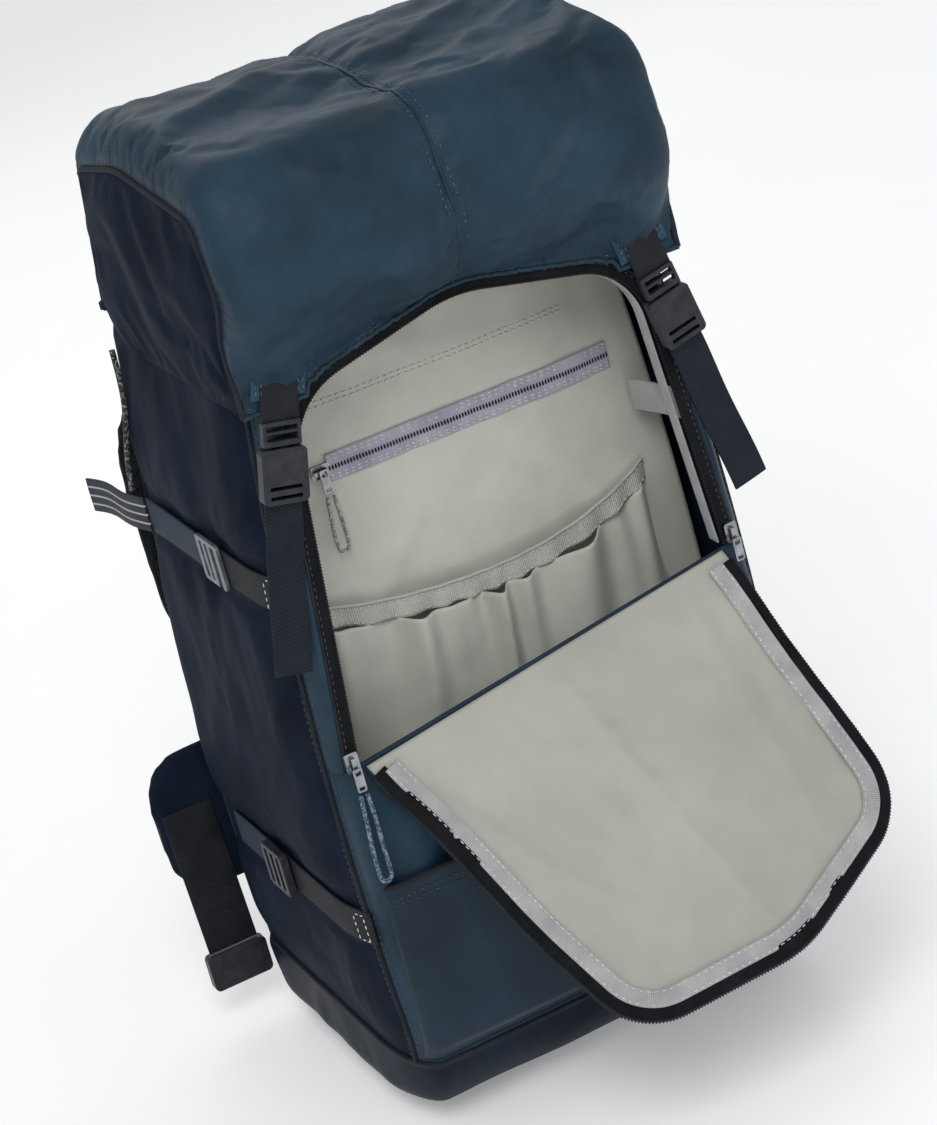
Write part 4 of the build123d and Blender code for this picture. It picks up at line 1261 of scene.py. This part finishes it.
def door_curl(x, z):
    """How far the open flap's cloth stands off its flat shape: a soft bow with a crease down its middle."""
    down = (z - fold_height(x)) / 250
    wide = abs(x) / 140
    bow = -9.0 * math.sin(math.pi * min(max(down, 0), 1) * 0.9) * (1 - 0.6 * wide)
    ridge = 3.4 * math.exp(-abs(x + 4) / 7) * smooth(0.05, 0.2, down)
    p = (x, 0, z)
    waves = ripple(p, 80, 3.4, 61) + ripple(p, 30, 1.1, 67)
    edge = 5.5 * wide ** 3 * math.sin(z / 26.0 + (1.4 if x > 0 else 0))
    at = Vector((x, 0, z))
    waves += crease(at, Vector((-110, 0, 330)), Vector((-60, 0, 470)), 8, -2.6)
    waves += crease(at, Vector((118, 0, 352)), Vector((92, 0, 500)), 9, 3.2)
    waves += crease(at, Vector((96, 0, 350)), Vector((60, 0, 530)), 7, 2.2)
    waves += crease(at, Vector((-70, 0, 520)), Vector((10, 0, 470)), 8, 2.2)
    near_fold = smooth(0.0, 0.14, down)
    cup = 20.0 * wide ** 2.2 * smooth(0.1, 1.0, down) * (1.15 if x > 0 else 0.7)
    return near_fold * (bow * 0.55 + ridge + waves + edge - cup)


def door_sheet(grow, depth):
    """Sheet of the door over its whole outline, at a depth behind its outer face, lying open."""

    def place(u, w):
        base = fold_height(0) + 2.0
        crown = 563.0 + grow
        z_mid = base + w * (crown - base)
        half = door_lean_x(min(z_mid, crown - 0.4), grow)
        x = (2 * u - 1) * half
        level = 1 - w
        z = z_mid + math.tan(FOLD_SLANT) * x * level ** 3
        x = (2 * u - 1) * door_lean_x(min(z, crown - 0.4), grow) if w < 0.5 else x
        return opened((x, FRONT_Y + depth + door_curl(x, z), z))

    return place


def door_line(grow, raised, depth, steps=240):
    return [opened((x, FRONT_Y + depth + door_curl(x, z), z)) * MM for x, z in door_loop(grow, raised, steps)]


DOOR_OUT = OPENING_TURN @ Vector((0, -1, 0))


def make_door():
    shell = Panel("door_shell_cloth", 96, 110, door_sheet(-1.5, 0.4), "door", BLUE_NYLON, "shell_blue", DOOR_OUT)
    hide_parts("door_shell")
    thicken(shell.obj, 1.0)
    # The door's lining takes the darker copy of the lining grey: painted shade.
    lining = Panel("door_lining_cloth", 96, 110, door_sheet(-3.0, 2.6), "door", DOOR_LINING_PAINTED_SHADE, "lining_grey",
                   -DOOR_OUT)
    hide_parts("door_lining")
    thicken(lining.obj, 1.0)
    line = door_line(-5.5, 9.0, -0.4)
    outs = [DOOR_OUT] * len(line)
    tape = ribbon("door_zip_tape_run", line, outs, 8.5, 1.2, "door", BLACK_TAPE)
    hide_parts("door_zip_tape")
    coil("door_zip_coil", door_line(-0.6, 9.0, 0.6), outs, 3.0, "door", NYLON_COIL)
    tube("door_zip_edge", door_line(-1.6, 9.0, 1.4), 1.5, "door", DARK_GROSGRAIN_PLAIN)
    ribbon("door_zip_tape_inner_face", door_line(-6.6, 9.0, 4.1), [-DOOR_OUT] * len(line), 9.5, 0.8, "door",
           BLACK_TAPE)
    inner = door_line(-14.5, 9.0, 4.4)
    binding = ribbon("door_binding_tape", inner, [-DOOR_OUT] * len(inner), 11.5, 0.9, "door", GREY_GROSGRAIN)
    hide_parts("door_binding")
    stitches("door_binding_stitching", [door_line(-10.4, 10.0, 5.1), door_line(-18.6, 10.0, 5.1)], "door", PALE_THREAD,
             0.34)


LINING_ROLL = woven("rolled_lining_grey", "#9fa19c", "#bdbfba", 0.9, 0.05, blotch=60, on_uv=False, roughness=0.65)


# ---------------------------------------------------------------- inside the front compartment


BAND_MID_Z = 352.0


def band_height(x):
    """Top of the elastic hem, which hangs between its two ends."""
    return BAND_MID_Z - 3 + (0.0019 if x > 15 else 0.00115) * (x - 15) ** 2


def gathered_pocket(u, w):
    """Pocket cloth cut wider than its wall: it bunches on the elastic and smooths out downwards."""
    half = 134.0
    x = (2 * u - 1) * half
    top = band_height(x) - 13
    z = 152 + w * (top - 152)
    fold = math.sin(x / 3.6 + 1.7 * math.sin(x / 23.0) + 0.8 * math.sin(z / 31.0))
    deep = math.sin(x / 11.0 + 1.3 * math.sin(x / 37.0) + (352 - z) / 46.0)
    reach = 0.6 + 0.4 * math.sin(x / 19.0 + 1.0)
    middling = math.sin(x / 5.6 + 2.1 * math.sin(x / 29.0) + (352 - z) / 58.0)
    gather = 2.6 * w ** (3.5 - reach) * fold + 4.6 * middling * w ** 1.6 + 7.0 * deep * w ** 1.1 * (1 - 0.45 * w)
    belly = 16.0 * math.sin(math.pi * min(0.16 + 0.84 * w, 1.0) * 0.62) * (1 - abs(2 * u - 1) ** 5)
    p = Vector((x, 0, z))
    return x, DIVIDER_Y - 2.6 - belly - gather - ripple(p, 60, 2.4, 71) * (1 - abs(2 * u - 1) ** 4), z


def elastic_hem(u, w):
    x = (2 * u - 1) * 134.0
    z = band_height(x) - 13.6 + w * 15
    fold = math.sin(x / 3.6 + 1.7 * math.sin(x / 23.0) + 0.8 * math.sin(z / 31.0))
    belly = 9.5 * math.sin(math.pi * 0.62) * (1 - abs(2 * u - 1) ** 5)
    return x, DIVIDER_Y - 3.6 - belly - (1.9 - 1.5 * w) * fold - 0.8, z


def wall_line(x0, x1, z, lift, steps=100):
    out = []
    for i in range(steps + 1):
        x = x0 + (x1 - x0) * i / steps
        half = interior_half_width(z, DIVIDER_Y)
        p = Vector(divider_face((x / half + 1) / 2, (z - 6) / 568))
        out.append((p + Vector((0, -lift, 0))) * MM)
    return out


def make_interior():
    out = Vector((0, -1, 0))
    zip_z, x0, x1 = 455.0, -80.0, 128.0
    line = wall_line(x0, x1, zip_z, 0.9)
    outs = [out] * len(line)
    tape = ribbon("wall_zip_tape", line, outs, 19.0, 1.0, "pack", LILAC_TAPE)
    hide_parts("inner_zip_tape")
    coil("wall_zip_coil", wall_line(x0, x1, zip_z, 1.6), outs, 4.2, "pack", NYLON_COIL)
    rows = [wall_line(x0, x1, zip_z + dz, 1.5) for dz in (-7.6, -5.2, 5.2, 7.6)]
    rows += [wall_line(-96, 104, 498 + dz, 0.4) for dz in (-1.6, 1.6)]
    stitches("wall_stitching", rows, "pack", PALE_THREAD, 0.42)
    pocket = Panel("gathered_pocket_cloth", 300, 60, gathered_pocket, "pack", LINING, "lining_grey", (0, -1, 0))
    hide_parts("elastic_pocket")
    thicken(pocket.obj, 0.9)
    hem = Panel("elastic_hem_band", 300, 8, elastic_hem, "pack", ELASTIC, "elastic_grey", (0, -1, 0))
    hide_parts("elastic_band")
    thicken(hem.obj, 1.4)
    top = [hem.at(i / 200, 1.0, 0.0) for i in range(201)]
    tube("elastic_hem_roll", top, 1.2, "pack", LINING_ROLL)
    stitches("elastic_stitching", [[hem.at(i / 200, v, 0.6) for i in range(201)] for v in (0.15, 0.85)], "pack",
             PALE_THREAD, 0.36)

    def bag(u, w):
        x = -92 + u * 226
        z = 372 + w * 95
        sag = 3.0 * math.sin(math.pi * u) * math.sin(math.pi * w)
        return x, DIVIDER_Y + 3.4 + sag + ripple((x, 0, z), 50, 1.2, 3), z

    pouch = Panel("wall_pocket_bag", 50, 26, bag, "pack", LINING, "lining_grey", (0, 1, 0))
    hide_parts("inner_pocket_bag")
    thicken(pouch.obj, 1.0)
    tab = [Vector((x, y, 428 - 2.0 * math.sin((x - 118) / 8))) * MM for x, y in
           ((134, -62), (137, -74), (140, -88), (142, -100), (143.5, -112))]
    ribbon("compartment_webbing_tab", tab, [Vector((-1, 0, 0))] * 5, 22, 1.6, "pack", GREY_GROSGRAIN,
           across=Vector((0, 0, 1)))


# ---------------------------------------------------------------- lower front pocket


def stretch_pocket(u, w):
    """Pocket across the rounded lower front: drawn tight at its hem, fuller below."""
    s = 2 * u - 1
    side = 1 if s >= 0 else -1
    x = abs(s) * 149.0
    top = 211 + 4 * math.cos(s * math.pi / 2) - 4
    z = 71 + w * (top - 71)
    limit = half_width(z) - FRONT_CORNER_W
    t = x / limit if x <= limit else 1 + math.asin(min((x - limit) / FRONT_CORNER_W, 0.9)) * 2 / math.pi
    p = body_point(side, t, z)
    fold = math.sin(p.x / 8.0 + 1.2 * math.sin(p.x / 31.0)) * smooth(0.45, 1.0, w)
    gap = 8.2 * (1 - abs(s) ** 7) * smooth(0, 0.10, w) + 0.6
    lift = gap + 0.9 * fold + folds(p, 83.0) * 0.55 * smooth(0, 0.2, w) * (1 - abs(s) ** 5)
    return body_point(side, t, z, max(lift, 0.8))


def make_front_pocket():
    pocket = Panel("front_pocket_cloth", 150, 70, stretch_pocket, "pack", POCKET_NYLON, "pocket_navy", (0, -1, 0))
    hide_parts("front_pocket")
    thicken(pocket.obj, 1.6)
    n = 160
    hem = [pocket.at(i / n, 1.0, 0.3) for i in range(n + 1)]
    tube("front_pocket_hem", hem, 1.8, "pack", DARK_GROSGRAIN_PLAIN)
    stitches("front_pocket_stitching", [[pocket.at(i / n, v, 0.3) for i in range(n + 1)] for v in (0.9, 0.93)],
             "pack", DARK_THREAD, 0.32)


# ---------------------------------------------------------------- straps


def side_line(side, z, y0, y1, lift, steps=30, dip=0.0):
    line, outs = [], []
    for i in range(steps + 1):
        f = i / steps
        y = y0 + (y1 - y0) * f
        p = body_point(side, t_at_y(y, z), z, lift - dip * math.sin(math.pi * f))
        line.append(p * MM)
        outs.append(Vector((side, 0, 0)))
    return line, outs


def make_side_straps():
    up = Vector((0, 0, 1))
    for side in SIDES:
        name = SIDE_NAMES[side]
        line, outs = side_line(side, UPPER_STRAP_Z, -127, -32, 2.2, dip=0.6)
        front = ribbon("upper_strap_front_" + name, line, outs, 25, 1.8, "pack", BLACK_WEBBING, up)
        line, outs = side_line(side, UPPER_STRAP_Z, -8, 90, 2.4, dip=0.6)
        rear = ribbon("upper_strap_rear_" + name, line, outs, 25, 1.8, "pack", BLUE_WEBBING, up)
        line, outs = side_line(side, LOWER_STRAP_Z, -127, 2, 2.2)
        low = ribbon("lower_strap_front_" + name, line, outs, 25, 1.8, "pack", BLACK_WEBBING, up)
        line, outs = side_line(side, LOWER_STRAP_Z, 10, 90, 2.4)
        ribbon("lower_strap_rear_" + name, line, outs, 25, 1.8, "pack", BLUE_WEBBING, up)
        if side < 0:
            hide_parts("upper_straps")
            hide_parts("lower_straps")
        for level, key in ((UPPER_STRAP_Z, "upper"), (LOWER_STRAP_Z, "lower")):
            rows = []
            for y in (-122, -112):
                rows.append([body_point(side, t_at_y(y, z), z, 4.0) * MM
                             for z in (level - 10, level - 5, level, level + 5, level + 10)])
            for z in (level - 10, level + 10):
                rows.append([body_point(side, t_at_y(y, z), z, 4.0) * MM for y in (-122, -117, -112)])
            stitches(f"{key}_bartack_{name}", rows, "pack", PALE_THREAD, 0.4)
    tail = []
    for i in range(13):
        f = i / 12
        a = math.radians(8)
        run = 86 * f
        x = -(half_width(UPPER_STRAP_Z) + 4) - run * math.sin(a) - 2.2 * math.sin(math.pi * 2 * f)
        tail.append(Vector((x, 91 + run * math.cos(a), UPPER_STRAP_Z - 3.0 * f * f)) * MM)
    ribbon("upper_strap_tail", tail, [Vector((-1, 0.1, 0))] * 13, 25, 1.8, "pack", STRIPED_WEBBING, up)


def hanging_frame():
    """Directions of the lid's straps, which lean with the door's sides."""
    lean = math.radians(12.3)
    down = Vector((-math.sin(lean), 0, -math.cos(lean)))
    across = Vector((math.cos(lean), 0, -math.sin(lean)))
    return down, across


def make_lid_straps():
    down, across = hanging_frame()
    for side in SIDES:
        name = SIDE_NAMES[side]
        flip = Vector((-side, 1, 1))
        top = Vector((-130.0, 0, LID_HEM))

        def point(s, y):
            p = top + down * s
            return Vector((p.x * flip.x, y, p.z)) * MM

        wide = Vector((across.x * flip.x, 0, across.z))
        out = Vector((0, -1, 0))
        ear = [point(s, y) for s, y in ((-26, -151.5), (-18, -150.6), (-9, -149.2), (-2, -149.0), (4, -148.8),
                                        (9, -148.4))]
        upper = ribbon("lid_strap_" + name, ear, [out] * len(ear), 25, 1.8, "lid", BLACK_WEBBING,
                       wide)
        patch = [point(s, y) for s, y in ((-40, -152.2), (-28, -151.0), (-16, -149.2), (-6, -147.6))]
        ribbon("lid_ear_patch_" + name, patch, [out] * len(patch), 36, 1.6, "lid", BLUE_RIBBON, wide)
        rows = [[point(s, -152.9 + 0.06 * (s + 40)) + wide * w * MM for s in (-37, -24, -8)] for w in (-15.5, -12, 12, 15.5)]
        stitches("lid_ear_stitching_" + name, rows, "lid", BLUE_THREAD, 0.4)
        drop = [point(s, -143.2 - 1.4 * math.sin((s - 47) / 14)) for s in range(47, 180, 7)]
        lower = ribbon("body_strap_" + name, drop, [out] * len(drop), 25, 1.8, "pack", NAVY_WEBBING,
                       wide)
        if side < 0:
            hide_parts("lid_straps")
            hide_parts("body_straps")


BLUE_RIBBON = ribbed("folded_nylon_ear_slate", "#1a2d3d", "#2d4a62", 1.5, 0.08, roughness=0.55, specular_ior_level=0.16)


# ---------------------------------------------------------------- padding and harness


padded_pieces = []


def pad_from(node, name, body, inset, cap, material, fill, voxel=5.0, pressure=4.0):
    """Foam pad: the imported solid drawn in, given an even skin, and listed for swelling."""
    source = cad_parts[node]
    mesh = source.data.copy()
    mesh.name = name
    mesh.materials.clear()
    bm = bmesh.new()
    bm.from_mesh(mesh)
    bmesh.ops.remove_doubles(bm, verts=bm.verts, dist=0.00002)
    bm.to_mesh(mesh)
    bm.free()
    obj = new_object(name, mesh, body, material)
    remesh = obj.modifiers.new("even_skin", "REMESH")
    remesh.mode = "VOXEL"
    remesh.voxel_size = voxel * MM
    bpy.context.view_layer.update()
    even = bpy.data.meshes.new_from_object(obj.evaluated_get(bpy.context.evaluated_depsgraph_get()))
    obj.modifiers.remove(remesh)
    obj.data = even
    even.name = name
    even.materials.clear()
    even.materials.append(material)
    for _ in range(2):
        bm = bmesh.new()
        bm.from_mesh(even)
        bmesh.ops.smooth_vert(bm, verts=bm.verts, factor=0.5, use_axis_x=True, use_axis_y=True, use_axis_z=True)
        bm.normal_update()
        for v in bm.verts:
            v.co -= v.normal * inset * MM / 2
        bm.to_mesh(even)
        bm.free()
    shade_smooth(even)
    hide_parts(node)
    padded_pieces.append((obj, cap, pressure, fill))
    return obj


def swell_pads():
    for obj, cap, pressure, _ in padded_pieces:
        cloth = obj.modifiers.new("cloth", "CLOTH")
        cloth.settings.use_pressure = True
        cloth.settings.uniform_pressure_force = pressure
        cloth.settings.effector_weights.gravity = 0.0
        cloth.settings.quality = 5
        cloth.settings.mass = 0.3
        cloth.settings.bending_stiffness = 0.4
        cloth.point_cache.frame_start = 1
        cloth.point_cache.frame_end = SETTLE_FRAMES
    for step in range(1, SETTLE_FRAMES + 1):
        bpy.context.scene.frame_set(step)
    depsgraph = bpy.context.evaluated_depsgraph_get()
    for obj, cap, _, _ in padded_pieces:
        ends = [v.co.copy() for v in obj.evaluated_get(depsgraph).data.vertices]
        for v, end in zip(obj.data.vertices, ends):
            move = end - v.co
            if move.length > cap * MM:
                move *= cap * MM / move.length
            v.co += move
        obj.modifiers.remove(obj.modifiers["cloth"])
    bpy.context.scene.frame_set(1)
    for obj, _, _, fill in padded_pieces:
        subdivide(obj, 1)


def make_pads():
    pad_from("lumbar_pad", "lumbar_cushion", "pack", 2.0, 4, AIR_MESH, 0.7)
    pad_from("back_pads", "back_cushions", "pack", 1.6, 3, AIR_MESH, 0.7)
    for side in SIDES:
        name = SIDE_NAMES[side]
        pad_from("shoulder_strap_" + name, "shoulder_pad_" + name, "pack", 1.6, 3, AIR_MESH, 0.8)
        pad_from("hip_wing_" + name, "hip_pad_" + name, "wing_" + name, 1.6, 3, DARK_NYLON_PLAIN, 0.8)


DARK_NYLON_PLAIN = woven("coated_nylon_charcoal_pad", "#0d1420", "#1c2636", 1.6, 0.12, on_uv=False,
                         roughness=0.55, specular_ior_level=0.02)


def make_harness():
    """Webbing of the harness, the handle and the hinge strip, each along its own line."""
    out = Vector((0, 1, 0))
    for side in SIDES:
        name = SIDE_NAMES[side]
        web = [Vector((side * x, y, z)) * MM for x, y, z in (
            (115, 139.8, 224), (117.5, 140.6, 196), (121, 141.4, 160), (124.5, 141.6, 122), (128, 141.4, 84))]
        strap = ribbon("shoulder_web_" + name, web, [out] * 5, 20, 1.8, "pack", BLACK_WEBBING,
                       Vector((1, 0, 0)))
        chest = [Vector((side * x, 185.8, 400)) * MM for x in (90, 70, 50, 30, 15.5)]
        sternum = ribbon("chest_web_" + name, chest, [out] * 5, 20, 1.6, "pack", BLACK_WEBBING,
                         Vector((0, 0, 1)))
        if side < 0:
            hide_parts("strap_webs")
            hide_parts("sternum_webs")
        belt = [Vector((side * (184 - 3 * f), 150.4 - 3.4 * f, 176 - 114 * f)) * MM for f in
                (0, 0.2, 0.4, 0.6, 0.8, 1.0)]
        hip = ribbon("hip_belt_web_" + name, belt, [Vector((0, -1, 0))] * 6, 38, 1.8, "wing_" + name, BLACK_WEBBING,
                     Vector((1, 0, 0)))
        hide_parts("hip_web_" + name)
    loop = []
    half, drop, corner = 29.5, 29.5, 13.0
    loop.append(Vector((-half, 112, 544)))
    for start, cx, cz in ((180, -half + corner, 544 - drop + corner), (270, half - corner, 544 - drop + corner)):
        for i in range(9):
            a = math.radians(start + 90 * i / 8)
            loop.append(Vector((cx + corner * math.cos(a), 112 + 0.5 * math.sin(i), cz + corner * math.sin(a))))
    loop.append(Vector((half, 112, 544)))
    points = [p * MM for p in loop]
    handle = ribbon("haul_loop", points, [Vector((0, 1, 0))] * len(points), 9, 4.0, "handle", BLACK_WEBBING)
    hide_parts("haul_handle")

    def hinge_strip(u, w):
        x = (2 * u - 1) * 120
        z = 546 + w * 17
        return x, back_y(z) + 1.2 + 0.3 * math.sin(x / 9), z

    strip = Panel("lid_hinge_tape", 60, 4, hinge_strip, "pack", DARK_GROSGRAIN, "shell_dark", (0, 1, 0))
    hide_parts("lid_hinge_strip")
    thicken(strip.obj, 1.4)


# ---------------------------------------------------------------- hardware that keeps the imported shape


def finish_node(node, material, bevel=0.4):
    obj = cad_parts[node]
    obj.data.materials.clear()
    obj.data.materials.append(material)
    if bevel:
        weld = obj.modifiers.new("weld", "WELD")
        weld.merge_threshold = 0.00002
        edge = obj.modifiers.new("edges", "BEVEL")
        edge.width = bevel * MM
        edge.segments = 3
        edge.limit_method = "ANGLE"
        edge.angle_limit = math.radians(35)


def make_hardware():
    for node in ("male_buckles", "female_buckle_left", "female_buckle_right", "ladder_locks", "strap_locks",
                 "hip_buckle_left", "hip_buckle_right", "sternum_buckle"):
        finish_node(node, ACETAL, 0.8)
    finish_node("hook_buckles", HOOK_METAL, 0.5)
    for node in ("door_slider_left", "door_slider_right", "pocket_slider"):
        finish_node(node, NICKEL, 0.5)
    for node in ("door_tab_left", "door_tab_right", "pocket_tab"):
        finish_node(node, NICKEL, 0.25)
    finish_node("frame_sheet", HDPE, 0)
    finish_node("frame_stays", STAY_METAL, 0)


make_body()
make_seams()
lid = make_lid()
make_body_zip()
make_door()
make_interior()
make_front_pocket()
make_side_straps()
make_lid_straps()
make_pads()
make_harness()
make_hardware()
settle_cloth()
swell_pads()
dress_lid(lid)
